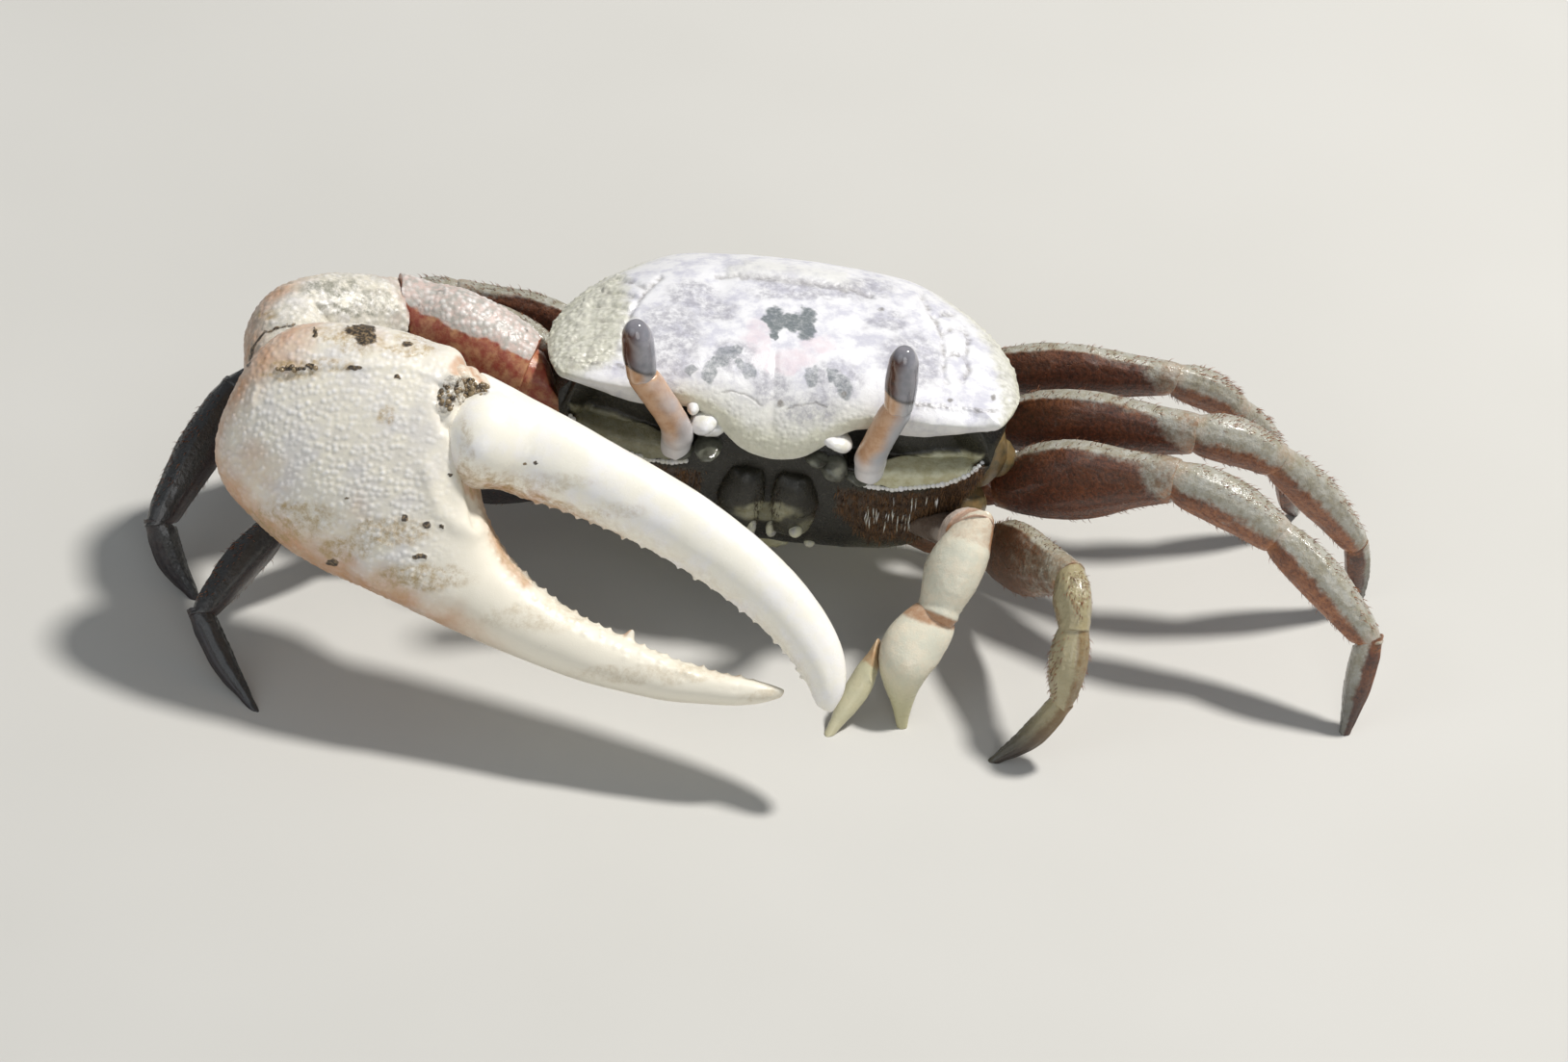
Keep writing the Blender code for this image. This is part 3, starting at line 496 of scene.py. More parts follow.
class Finish:
    """A material's nodes, made by short calls that return output sockets."""

    def __init__(self, name):
        self.material = bpy.data.materials.new(name)
        self.material.use_nodes = True
        self.tree = self.material.node_tree
        self.shader = self.tree.nodes["Principled BSDF"]
        self.place = self.tree.nodes.new("ShaderNodeTexCoord").outputs["Object"]

    def add(self, kind, **settings):
        node = self.tree.nodes.new(kind)
        for key, value in settings.items():
            setattr(node, key, value)
        return node

    def feed(self, socket, value):
        if isinstance(value, bpy.types.NodeSocket):
            self.tree.links.new(value, socket)
        else:
            socket.default_value = value

    def layer(self, name):
        return self.add("ShaderNodeAttribute", attribute_name=name).outputs["Fac"]

    def noise(self, size, detail=4.0, rough=0.55):
        """Noise whose lumps are about size millimetres across."""
        node = self.add("ShaderNodeTexNoise")
        self.feed(node.inputs["Vector"], self.place)
        node.inputs["Scale"].default_value = 1 / (size * MM)
        node.inputs["Detail"].default_value = detail
        node.inputs["Roughness"].default_value = rough
        return node.outputs["Fac"]

    def cells(self, size):
        node = self.add("ShaderNodeTexVoronoi")
        self.feed(node.inputs["Vector"], self.place)
        node.inputs["Scale"].default_value = 1 / (size * MM)
        return node.outputs["Distance"]

    def sums(self, kind, first, second=0.0, clamp=False):
        node = self.add("ShaderNodeMath", operation=kind, use_clamp=clamp)
        self.feed(node.inputs[0], first)
        self.feed(node.inputs[1], second)
        return node.outputs[0]

    def band(self, value, low, high, start=0.0, end=1.0):
        """A smooth change from start to end as value goes from low to high."""
        node = self.add("ShaderNodeMapRange", interpolation_type="SMOOTHSTEP")
        for socket, item in zip(node.inputs[:5], (value, low, high, start, end)):
            self.feed(socket, item)
        return node.outputs[0]

    def cloud(self, size, low, high, detail=4.0, rough=0.55, start=0.0, end=1.0):
        """Noise as patches about size millimetres across, start below low and end above high."""
        return self.band(self.noise(size, detail, rough), low, high, start, end)

    def patchy(self, layer, *cloud):
        """A painted layer broken up by patches."""
        return self.sums("MULTIPLY", self.layer(layer), self.cloud(*cloud))

    def ragged(self, layer, share, *noise):
        """A painted layer with a share of noise added, so that a band of it has uneven edges."""
        return self.sums("ADD", self.layer(layer), self.sums("MULTIPLY", self.noise(*noise), share))

    def blend(self, share, first, second):
        node = self.add("ShaderNodeMix", data_type="RGBA", blend_type="MIX")
        self.feed(node.inputs[0], share)
        self.feed(node.inputs[6], first)
        self.feed(node.inputs[7], second)
        return node.outputs[2]

    def bumps(self, *layers):
        """Bump from pairs of height socket and depth in millimetres."""
        normal = None
        for height, depth in layers:
            node = self.add("ShaderNodeBump")
            node.inputs["Strength"].default_value = 1.0
            node.inputs["Distance"].default_value = depth * MM
            self.feed(node.inputs["Height"], height)
            if normal:
                self.feed(node.inputs["Normal"], normal)
            normal = node.outputs["Normal"]
        self.feed(self.shader.inputs["Normal"], normal)

    def done(self, colour, roughness, **fixed):
        self.feed(self.shader.inputs["Base Color"], colour)
        self.feed(self.shader.inputs["Roughness"], roughness)
        for name, value in fixed.items():
            self.shader.inputs[name.replace("_", " ")].default_value = value
        return self.material


# Colours, as the photo shows them in sun
SHELL_WHITE = tint(234, 233, 235)
SHELL_LILAC = tint(202, 201, 211)
SHELL_PINK = tint(224, 209, 214)
SHELL_CREAM = tint(218, 216, 198)
SHELL_OLIVE = tint(172, 172, 148)
MARK_GREY = tint(88, 98, 100)
SMUDGE_GREY = tint(158, 156, 164)
LINE_GREY = tint(120, 114, 106)
CLAW_BED = tint(221, 215, 203)
CLAW_CREAM = tint(236, 229, 212)
GRANULE_WHITE = tint(244, 241, 238)
STAIN_TAN = tint(198, 146, 106)
MUD = tint(62, 54, 46)
OCHRE = tint(170, 144, 98)
IVORY = tint(245, 240, 226)
ARM_RED = tint(150, 66, 50)
ARM_PINK = tint(208, 187, 178)
ARM_GREY = tint(176, 172, 164)
LEG_RUST = tint(112, 60, 38)
LEG_DARK = tint(56, 36, 26)
LEG_ORANGE = tint(166, 108, 68)
LEG_GREY = tint(184, 182, 172)
LEG_OLIVE = tint(150, 143, 122)
PALE_OLIVE = tint(166, 154, 116)
# Dark of wet mud, also painted as shade on the legs in shadow
MUD_AND_SHADE_DARK = tint(30, 31, 36)
AMBER = tint(184, 118, 64)
MINOR_CREAM = tint(232, 222, 200)
MINOR_OLIVE = tint(190, 184, 146)
BELLY_OLIVE = tint(78, 76, 58)
BELLY_DARK = tint(34, 32, 24)
BELLY_PALE = tint(210, 208, 178)
HAIR_BROWN = tint(70, 50, 34)
HAIR_TAN = tint(132, 96, 60)
WET_GREY = tint(104, 105, 94)
WET_BLACK = tint(60, 59, 50)
CLAW_GREY = tint(142, 140, 126)
LEG_BROWN = tint(128, 104, 66)
DARK_AMBER = tint(150, 98, 52)
SAND_TAN = tint(156, 138, 108)
CORNEA_BROWN = tint(88, 54, 40)
CORNEA_GREY = tint(134, 138, 146)
STALK_PEACH = tint(206, 168, 136)
STALK_BLUE = tint(176, 182, 190)
STALK_TAN = tint(188, 142, 104)
MUD_BROWN = tint(132, 112, 84)
FLOOR_GREY = tint(198, 196, 190)
FLOOR_PALE = tint(206, 204, 199)


def shell_finish():
    look = Finish("shell")
    mottle = look.noise(1.6, 6.0, 0.65)
    colour = look.blend(look.band(mottle, 0.42, 0.66), SHELL_WHITE, SHELL_LILAC)
    colour = look.blend(look.layer("cream"), colour, SHELL_CREAM)
    # Olive from the edge layer: the granular parts' dull colour and painted shade on the rim
    colour = look.blend(look.patchy("edge", 0.5, 0.42, 0.7, 6.0, 0.7), colour, SHELL_OLIVE)
    colour = look.blend(look.patchy("pink", 0.9, 0.15, 0.7, 6.0, 0.65), colour, SHELL_PINK)
    colour = look.blend(look.patchy("smudge", 0.6, 0.32, 0.66, 6.0, 0.75), colour, SMUDGE_GREY)
    mark = look.band(look.ragged("mark", 1.1, 0.35, 6.0, 0.8), 0.85, 1.6, 0.0, 0.9)
    colour = look.blend(mark, colour, MARK_GREY)
    colour = look.blend(look.patchy("line", 0.4, 0.3, 0.6, 5.0, 0.7, 0.3, 1.0), colour, LINE_GREY)
    look.bumps((look.noise(0.1, 4.0), 0.014), (look.noise(0.45, 4.0), 0.03))
    return look.done(colour, look.band(mottle, 0.3, 0.7, 0.28, 0.46), Specular_IOR_Level=0.5)


def soiled(look, colour, soil):
    """The colour under soil wherever the skin's mud layer is strong, which on the claw also holds a painted
    shadow line along the palm's top seam.
    """
    return look.blend(look.band(look.ragged("mud", 1.0, 0.3, 6.0, 0.75), 0.8, 1.22), colour, soil)


def mixed_mud(look):
    return look.blend(look.cloud(0.22, 0.45, 0.62), MUD, MUD_BROWN)


def claw_finish():
    look = Finish("claw")
    bed = look.blend(look.cloud(1.4, 0.35, 0.65, 6.0, 0.65), CLAW_BED, CLAW_CREAM)
    bed = look.blend(look.cloud(3.0, 0.45, 0.7, 3.0, end=0.4), bed, SHELL_LILAC)
    colour = look.blend(look.layer("smooth"), bed, CLAW_CREAM)
    colour = look.blend(look.layer("granule"), colour, GRANULE_WHITE)
    colour = look.blend(look.patchy("tan", 1.6, 0.2, 0.75, 6.0, 0.65, 0.5, 1.0), colour, STAIN_TAN)
    colour = look.blend(look.patchy("ochre", 0.7, 0.35, 0.7, 6.0, 0.75), colour, OCHRE)
    colour = look.blend(look.patchy("grey", 0.6, 0.35, 0.65, 6.0, 0.75), colour, CLAW_GREY)
    colour = look.blend(look.layer("red"), colour, ARM_RED)
    colour = soiled(look, colour, mixed_mud(look))
    look.bumps((look.noise(0.09, 4.0), 0.012))
    return look.done(colour, look.cloud(0.8, 0.35, 0.65, start=0.32, end=0.5))


def finger_finish():
    look = Finish("finger")
    colour = look.blend(look.cloud(2.2, 0.4, 0.7), IVORY, GRANULE_WHITE)
    colour = look.blend(look.patchy("tan", 1.2, 0.25, 0.7, 6.0, 0.65), colour, STAIN_TAN)
    colour = look.blend(look.patchy("ochre", 0.6, 0.35, 0.7, 6.0, 0.75), colour, OCHRE)
    colour = soiled(look, colour, mixed_mud(look))
    look.bumps((look.noise(0.12, 4.0), 0.006), (look.noise(0.9, 3.0), 0.015))
    return look.done(colour, look.cloud(1.2, 0.35, 0.65, start=0.24, end=0.36))


def arm_finish():
    look = Finish("arm")
    face = look.blend(look.cloud(0.9, 0.35, 0.7, 6.0, 0.65), ARM_RED, STAIN_TAN)
    top = look.blend(look.cloud(0.8, 0.4, 0.6, 6.0, 0.75), ARM_PINK, ARM_GREY)
    top = look.blend(look.layer("granule"), top, GRANULE_WHITE)
    colour = look.blend(look.band(look.ragged("dorsal", 0.6, 0.5, 6.0, 0.7), 0.6, 1.0), face, top)
    colour = soiled(look, colour, MUD)
    look.bumps((look.noise(0.12, 4.0), 0.02))
    return look.done(colour, look.cloud(0.6, 0.35, 0.65, start=0.26, end=0.44))


def leg_finish():
    look = Finish("leg")
    grain = look.noise(0.3, 6.0, 0.8)
    patches = look.noise(1.3, 5.0, 0.65)
    dark = look.blend(look.band(grain, 0.36, 0.66), LEG_DARK, LEG_RUST)
    warm = look.blend(look.band(grain, 0.34, 0.62), LEG_RUST, LEG_ORANGE)
    share = look.sums("MULTIPLY", look.layer("outer"), look.band(patches, 0.3, 0.6, 0.5, 1.2), True)
    face = look.blend(share, dark, warm)
    light = look.blend(look.cloud(0.8, 0.3, 0.7, 6.0, 0.7), LEG_OLIVE, LEG_GREY)
    streaks = look.sums("ADD", look.noise(0.4, 6.0, 0.75), look.noise(1.6, 4.0))
    edge = look.sums("ADD", look.layer("dorsal"), look.sums("MULTIPLY", streaks, 0.9))
    colour = look.blend(look.band(edge, 1.0, 1.75), face, light)
    speck = look.sums("MULTIPLY", look.cloud(0.22, 0.62, 0.72, 3.0), look.band(patches, 0.4, 0.6))
    colour = look.blend(look.sums("MULTIPLY", speck, 0.5), colour, LEG_ORANGE)
    colour = look.blend(look.patchy("joint", 0.5, 0.3, 0.65, 5.0, 0.7), colour, AMBER)
    olive = look.blend(look.band(edge, 0.9, 1.9), LEG_BROWN, PALE_OLIVE)
    colour = look.blend(look.layer("olive"), colour, olive)
    # Dark wet mud on the feet, and painted shade with wet mud on the legs in shadow
    colour = look.blend(look.layer("wet"), colour, MUD_AND_SHADE_DARK)
    look.bumps((look.noise(0.1, 5.0), 0.025), (look.noise(0.3, 4.0), 0.09))
    rough = look.band(edge, 1.0, 1.6, 0.44, 0.16)
    return look.done(colour, rough, Coat_Weight=0.4, Coat_Roughness=0.07)


def minor_finish():
    look = Finish("minor")
    colour = look.blend(look.cloud(1.2, 0.35, 0.65, 6.0, 0.7), MINOR_CREAM, SHELL_CREAM)
    colour = look.blend(look.layer("olive"), colour, MINOR_OLIVE)
    colour = look.blend(look.layer("rose"), colour, ARM_PINK)
    amber = look.blend(look.noise(0.5, 5.0), AMBER, DARK_AMBER)
    orange = look.band(look.ragged("joint", 0.6, 0.5, 6.0, 0.75), 0.6, 1.3, 0.0, 0.85)
    colour = look.blend(orange, colour, amber)
    colour = look.blend(look.layer("dark"), colour, HAIR_BROWN)
    look.bumps((look.noise(0.12, 4.0), 0.02), (look.noise(0.5, 4.0), 0.03))
    return look.done(colour, look.cloud(0.6, 0.35, 0.65, start=0.22, end=0.4))


def belly_finish():
    look = Finish("belly")
    grain = look.noise(0.5, 6.0, 0.7)
    colour = look.blend(look.band(grain, 0.35, 0.65), BELLY_OLIVE, BELLY_DARK)
    colour = look.blend(look.layer("brown"), colour, HAIR_BROWN)
    pale = look.blend(look.cloud(0.6, 0.35, 0.65, 5.0), BELLY_PALE, MINOR_OLIVE)
    colour = look.blend(look.layer("pale"), colour, pale)
    colour = look.blend(look.layer("dark"), colour, BELLY_DARK)
    look.bumps((look.noise(0.12, 5.0), 0.03), (grain, 0.05))
    return look.done(colour, look.band(grain, 0.35, 0.65, 0.2, 0.44))


def knob_finish(name, colour, second, roughness):
    look = Finish(name)
    mixed = look.blend(look.cloud(0.8, 0.3, 0.8, 5.0), colour, second)
    look.bumps((look.noise(0.15, 4.0), 0.02))
    return look.done(mixed, roughness)


def hair_finish(name, colour, second, roughness=0.4):
    look = Finish(name)
    return look.done(look.blend(look.cloud(0.6, 0.35, 0.65), colour, second), roughness)


def stalk_skin(look, cool_layer):
    """The stalk's warm colour, with painted cool light, bluish where the layer says."""
    warm = look.blend(look.cloud(0.8, 0.35, 0.7, 6.0, 0.7), STALK_PEACH, STALK_TAN)
    return look.blend(look.layer(cool_layer), warm, STALK_BLUE)


def stalk_finish():
    look = Finish("stalk")
    colour = stalk_skin(look, "cool")
    colour = look.blend(look.layer("foot"), colour, SHELL_WHITE)
    look.bumps((look.noise(0.12, 4.0), 0.012))
    return look.done(colour, 0.26)


def cornea_finish():
    look = Finish("cornea")
    grain = look.noise(0.7, 4.0)
    colour = look.blend(look.band(grain, 0.45, 0.95), CORNEA_BROWN, BELLY_DARK)
    grey = look.blend(look.band(grain, 0.3, 0.8), CORNEA_GREY, SMUDGE_GREY)
    # Grey-blue painted reflection on the cool side, and a painted highlight on top
    colour = look.blend(look.layer("cool"), colour, grey)
    colour = look.blend(look.layer("skin"), colour, stalk_skin(look, "skin_cool"))
    colour = look.blend(look.layer("dark"), colour, BELLY_DARK)
    look.bumps((look.cells(0.05), 0.002))
    return look.done(colour, 0.1, Coat_Weight=0.7, Coat_Roughness=0.04)


def floor_finish():
    look = Finish("floor")
    return look.done(look.blend(look.noise(30.0, 2.0), FLOOR_GREY, FLOOR_PALE), 0.85)


# Stage and light
FLOOR_HALF = 1.2
LIGHT_AIM = (0, 0, 0.012)


def make_stage():
    mesh = bpy.data.meshes.new("floor")
    half = FLOOR_HALF
    corners = [(-half, -half, 0), (half, -half, 0), (half, half, 0), (-half, half, 0)]
    mesh.from_pydata(corners, [], [(0, 1, 2, 3)])
    floor = bpy.data.objects.new("floor", mesh)
    bpy.context.scene.collection.objects.link(floor)
    mesh.materials.append(floor_finish())


def make_light(name, place, size, watts, colour=(1, 1, 1)):
    data = bpy.data.lights.new(name, "AREA")
    data.shape = "DISK"
    data.size = size
    data.energy = watts
    data.color = colour
    light = bpy.data.objects.new(name, data)
    light.location = place
    light.rotation_euler = (Vector(LIGHT_AIM) - Vector(place)).to_track_quat("-Z", "Y").to_euler()
    bpy.context.scene.collection.objects.link(light)


def make_lights():
    make_light("key", (0.2, 0.1, 0.46), 0.06, 2.75, (1.0, 0.98, 0.95))
    make_light("fill", (-0.35, -0.4, 0.3), 0.5, 0.5, (0.9, 0.95, 1.0))
    make_light("front", (0.1, -0.5, 0.25), 0.3, 0.5)
    world = bpy.data.worlds.new("studio")
    bpy.context.scene.world = world
    world.use_nodes = True
    sky = world.node_tree.nodes["Background"]
    sky.inputs["Color"].default_value = (0.86, 0.93, 1.0, 1)
    sky.inputs["Strength"].default_value = 0.22
    bpy.context.scene.view_settings.view_transform = "Standard"


# Carapace: marks and lines by photo pixel; mirrored, the brow and back lines serve both sides
H_MARK = ((805, 333, 12, 17), (838, 338, 11, 19), (821, 335, 22, 12), (803, 352, 5, 6))
DARK_SPOTS = (
    (735, 387, 10, 12), (752, 371, 10, 11), (763, 366, 9, 9), (779, 385, 8, 11), (842, 394, 9, 11),
    (879, 404, 9, 14), (716, 385, 6, 5), (864, 390, 8, 8), (744, 378, 7, 6), (872, 394, 7, 7),
    (770, 378, 6, 6),
)
SMUDGES = (
    (718, 307, 28, 15), (921, 336, 22, 10), (797, 293, 14, 6), (760, 372, 26, 18), (868, 396, 28, 20),
    (696, 350, 34, 34), (946, 376, 34, 30), (836, 303, 60, 9), (840, 424, 34, 16), (682, 404, 24, 12),
    (742, 322, 24, 14), (900, 300, 30, 12), (700, 380, 22, 14), (800, 400, 22, 18),
)
PINK_SPOTS = ((786, 352, 14, 18), (848, 361, 20, 9), (815, 376, 32, 12))
THIN_LINES = (
    ((750, 407), (760, 406), (776, 411), (790, 421)),
    ((817, 425), (829, 421), (847, 419), (858, 423)),
)
FINE_SPECKS = ((810, 419, 4, 4), (876, 410, 3, 3), (987, 416, 3, 3), (1031, 413, 3, 3), (915, 322, 3, 3))
SIDE_LINE = (
    ((957, 306), (964, 322), (973, 338), (978, 352), (980, 368), (979, 389), (983, 397)),
    ((686, 290), (673, 301), (664, 312), (655, 325), (650, 338), (648, 352), (651, 370)),
)
SIDE_BRANCHES = (
    ((978, 348), (988, 342), (1000, 341)), ((981, 370), (990, 367), (1002, 369)),
    ((1000, 341), (1006, 352), (1002, 369)), ((1002, 372), (1007, 384), (999, 395)),
    ((970, 330), (980, 326), (990, 327)), ((673, 301), (657, 294), (640, 291)),
    ((664, 312), (645, 305), (624, 303)), ((655, 325), (636, 318), (612, 317)),
    ((650, 338), (630, 333), (604, 333)), ((648, 350), (626, 348), (598, 352)),
    ((650, 363), (630, 364), (606, 370)),
)
BROW_LINE = ((943, 418), (960, 421), (975, 422), (998, 424), (1020, 428), (1036, 428))
BACK_LINE = ((770, 288), (792, 290), (835, 294), (884, 301), (905, 306))
BACK_BAND = ((776, 277), (800, 280), (850, 288), (890, 297))
# The midline's groove, which also gets a faint painted shadow line
MID_LINE = ((805, 371), (804, 398), (801, 446))
# Where the brow's plane runs out at the outer corner of the eye's hollow
CORNER_CREASE = ((1008, 424), (1026, 434), (1042, 446))
GRANULE_SIZE = 0.4
NODULE_SIZE = 0.95
# Parts of the shell that are granular, dull and cream
GRANULAR_LEFT = ((650, 282), (652, 330), (640, 374), (604, 388), (560, 392), (552, 330), (600, 276))
GRANULAR_RIGHT = ((1000, 322), (1026, 362), (1040, 410), (1040, 470), (1080, 460), (1070, 360), (1020, 300))
# The shell's own relief, in design millimetres: middle x and y, half sizes and rise
SHELL_LUMPS = (
    (0, -3.4, 4.2, 3.4, 0.28), (-9.2, -0.5, 3.4, 5.0, 0.16), (9.2, -0.5, 3.4, 5.0, 0.16),
    (0, 5.0, 4.4, 3.0, 0.14), (-6.2, -5.6, 2.0, 2.0, 0.12), (6.2, -5.6, 2.0, 2.0, 0.12),
    (-5.2, 1.6, 1.0, 3.4, -0.2), (5.2, 1.6, 1.0, 3.4, -0.2), (0, -8.2, 1.0, 2.2, -0.12),
)


def make_carapace(material):
    mesh = fine_mesh("carapace", 4, 40, 0.45)
    points, normals = points_of(mesh), normals_of(mesh)
    design = points - np.array(SHIFT)
    x, y = np.abs(design[:, 0]), design[:, 1]
    # The front corners are rounder than the solid's
    corner = ease(x, 10.0, 12.5) * ease(y, -8.95, -8.2) * ease(y, -1.0, -4.0)
    points = softened(mesh, points, corner * ease(normals[:, 2], 0.3, 0.6), 120)
    points = softened(mesh, points, ease(x, 10.5, 12.5) * ease(y, -5.5, -7.0), 45)
    crease = either((to_pixels(points), to_pixels(mirrored(points))), strokes, 22.0, CORNER_CREASE)
    points = softened(mesh, points, crease * ease(y, -6.0, -7.0), 200)
    move_points(mesh, points)
    normals = normals_of(mesh)
    seen = facing_view(normals, 0.05, 0.25)
    upward = ease(normals[:, 2], 0.1, 0.4)
    # Lines and raised bands
    fine = ragged_pixels(points, 0.3, 1.2)
    both = (fine, ragged_pixels(mirrored(points), 0.3, 1.2))
    side = strokes(fine, 4.0, *SIDE_LINE, *SIDE_BRANCHES) * upward
    brow = either(both, strokes, 6.0, BROW_LINE) * upward
    back_line = either(both, strokes, 4.0, BACK_LINE) * upward
    band = either(both, strokes, 10.0, BACK_BAND) * upward
    thin = strokes(fine, 2.0, *THIN_LINES) * seen
    middle = strokes(to_pixels(points), 6.0, MID_LINE) * seen
    # Granular parts
    pixels = ragged_pixels(points, 0.8, 4.0) + 2.0 * (fine - to_pixels(points))
    zone = most(inside(pixels, GRANULAR_LEFT, 16.0), 0.7 * inside(pixels, GRANULAR_RIGHT, 12.0)) * seen
    zone = most(zone, 0.7 * (1 - seen) * ease(x, 9.0, 12.0))
    front = ease(y, -6.6, -8.6) * ease(x, 8.5, 6.0)
    brow_face = 1 - 0.7 * ease(x, 7.0, 8.5) * ease(y, -6.5, -8.0)
    edge_band = ease(normals[:, 2], 0.9, 0.6) * ease(normals[:, 2], -0.3, 0.1)
    margin = most(edge_band, 0.3 * front) * brow_face
    rim = ease(normals[:, 2] + 0.15 * layered_noise(points, 1.2), 0.62, 0.2) * brow_face
    dome, tone = granules(points, GRANULE_SIZE, 3, 0.55)
    wide_dome, wide_tone = granules(points, NODULE_SIZE, 8, 0.6)
    nodules = wide_dome * wide_tone * zone * upward
    # Relief
    height = 0.04 * layered_noise(points, 3.2, 3, 5) + 0.022 * layered_noise(points, 0.8, 2, 9)
    height += 0.22 * nodules
    for lump_x, lump_y, wide, deep, rise in SHELL_LUMPS:
        reach = ((design[:, 0] - lump_x) / wide) ** 2 + ((y - lump_y) / deep) ** 2
        height += rise * np.exp(-reach) * upward
    height += dome * (0.1 * tone * zone * upward + 0.035 * (0.3 + tone) * margin)
    height += 0.12 * band - 0.2 * side - 0.05 * thin - 0.12 * back_line - 0.07 * middle
    height += brow * (0.08 + 0.06 * dome)
    # Colours
    broken = np.clip(layered_noise(points, 0.5, 3, 21) * 1.6 + 0.5, 0, 1)
    paint(mesh, "mark", most(spots(pixels, *H_MARK) * 0.92, spots(pixels, *DARK_SPOTS) * 0.72) * seen)
    paint(mesh, "smudge", spots(pixels, *SMUDGES) * seen * 0.8)
    paint(mesh, "pink", spots(pixels, *PINK_SPOTS) * seen * 0.8)
    specks = spots(fine, *FINE_SPECKS) * seen
    brow_marks = ease(brow, 0.5, 0.9) * broken
    lines = most(side * 0.7 * broken, brow_marks * 0.75, back_line * 0.45, thin * 0.5, specks * 0.8)
    pits = (1 - dome) ** 2 * np.clip(0.3 * zone * (0.4 + broken) + 0.09 * margin * broken, 0, 1)
    # The midline adds a faint painted shadow line
    paint(mesh, "line", most(lines, middle * 0.1, pits))
    paint(mesh, "cream", np.clip(0.8 * zone + 0.3 * band + 0.7 * rim + 0.5 * margin, 0, 1))
    # Olive tint: the granular parts' dull colour, painted shade darkening the downturned rim, and more
    # towards the outermost sides
    dull_and_rim_shade = 0.5 * zone * (1 - nodules) + 0.35 * rim + 0.25 * ease(x, 14.5, 16.0)
    paint(mesh, "edge", np.clip(dull_and_rim_shade, 0, 1))
    raise_skin(mesh, points, normals, height)
    add_piece("carapace_skin", mesh, "shell", material, "carapace")


# Face, under the carapace's front, by photo pixel on the crab's left and mirrored on its right
EYE_PLATE = ((888, 496), (915, 481), (943, 473), (975, 468), (1004, 468), (1022, 472),
             (1006, 492), (975, 503), (927, 506))
PLATE_CREST = ((889, 500), (903, 505), (927, 508), (953, 506), (975, 504), (992, 499), (1006, 493),
               (1020, 481))
HAIRY_ZONE = ((870, 506), (930, 512), (975, 508), (1022, 482), (1030, 520), (1000, 560), (900, 560),
              (868, 530))
BRISTLE_ROWS = (
    ((926, 513), (938, 518), (952, 519), (972, 516)), ((902, 526), (925, 533), (950, 534)),
    ((897, 535), (915, 541), (935, 545), (960, 542), (985, 534)),
)
# Olive parts of the mouth by photo pixel
MOUTH_ARC = (797, 531, 32, 10)
MOUTH_PATCH = (852, 552, 26, 14)
STERNUM_GROOVES = (-5.4, -2.6, 0.4, 3.6, 6.6)


def make_underside(material):
    mesh = fine_mesh("underside", 4, 45, 0.5)
    points, normals = points_of(mesh), normals_of(mesh)
    design = points - np.array(SHIFT)
    x, y, z = np.abs(design[:, 0]), design[:, 1], design[:, 2]
    front = ease(-normals[:, 1] + 0.5 * normals[:, 2], -0.1, 0.25) * ease(y, -2.0, -5.0)
    pixels = (ragged_pixels(points, 0.5, 1.5), ragged_pixels(mirrored(points), 0.5, 1.5))
    plate = either(pixels, inside, EYE_PLATE, 4.0) * front
    hairy = either(pixels, inside, HAIRY_ZONE, 8.0) * front
    crest = either(pixels, strokes, 5.0, PLATE_CREST) * front
    olive = spots(pixels[0], MOUTH_ARC) * front
    below = ease(-normals[:, 2], 0.2, 0.7) * ease(z, 8.0, 6.0)
    grooves = np.clip(sum(bell(y - 0.12 * x, place, 0.28) for place in STERNUM_GROOVES), 0, 1)
    seam = bell(z + 0.12 * y, 11.6, 0.3) * ease(np.abs(normals[:, 0]), 0.3, 0.6)
    dome, _ = granules(points, GRANULE_SIZE, 5, 0.55)
    height = 0.06 * layered_noise(points, 1.8, 3, 3) + 0.3 * plate + 0.12 * crest
    height += 0.05 * dome * (1 - plate) * (1 - front) - 0.22 * grooves * below - 0.16 * seam
    flank = ease(np.abs(normals[:, 0]), 0.2, 0.6) * (1 - front)
    # Pale eye plates, the one on the crab's right side darker as painted shade, with the olive arc
    bright = plate * (0.35 + 0.6 * ease(design[:, 0], -1.0, 1.0)) + 0.45 * olive
    paint(mesh, "pale", np.clip(bright + 0.75 * below * (1 - 0.6 * grooves) + 0.35 * flank, 0, 1))
    paint(mesh, "brown", hairy * 0.9)
    # The front of the underside dark, its own dark colour deepened by painted shade under the carapace's
    # front, save for the eye plates and hairy zones
    shade = 0.85 * front * (1 - plate) * (1 - hairy) + 0.2 * front * ease(x, 7.0, 5.2)
    paint(mesh, "dark", np.clip(shade - olive - bright, 0, 1))
    paint(mesh, "fur", hairy)
    paint(mesh, "rows", either(pixels, strokes, 6.0, *BRISTLE_ROWS) * front)
    # The walls rise into the carapace's rim at the sides and back
    lift = 0.9 * ease(normals[:, 2], 0.0, 0.6) * ease(y, -6.0, -3.0)
    raise_skin(mesh, points, normals, height, np.outer(lift, (0, 0, 1)))
    add_piece("underside_skin", mesh, "belly", material, "underside")
    return mesh


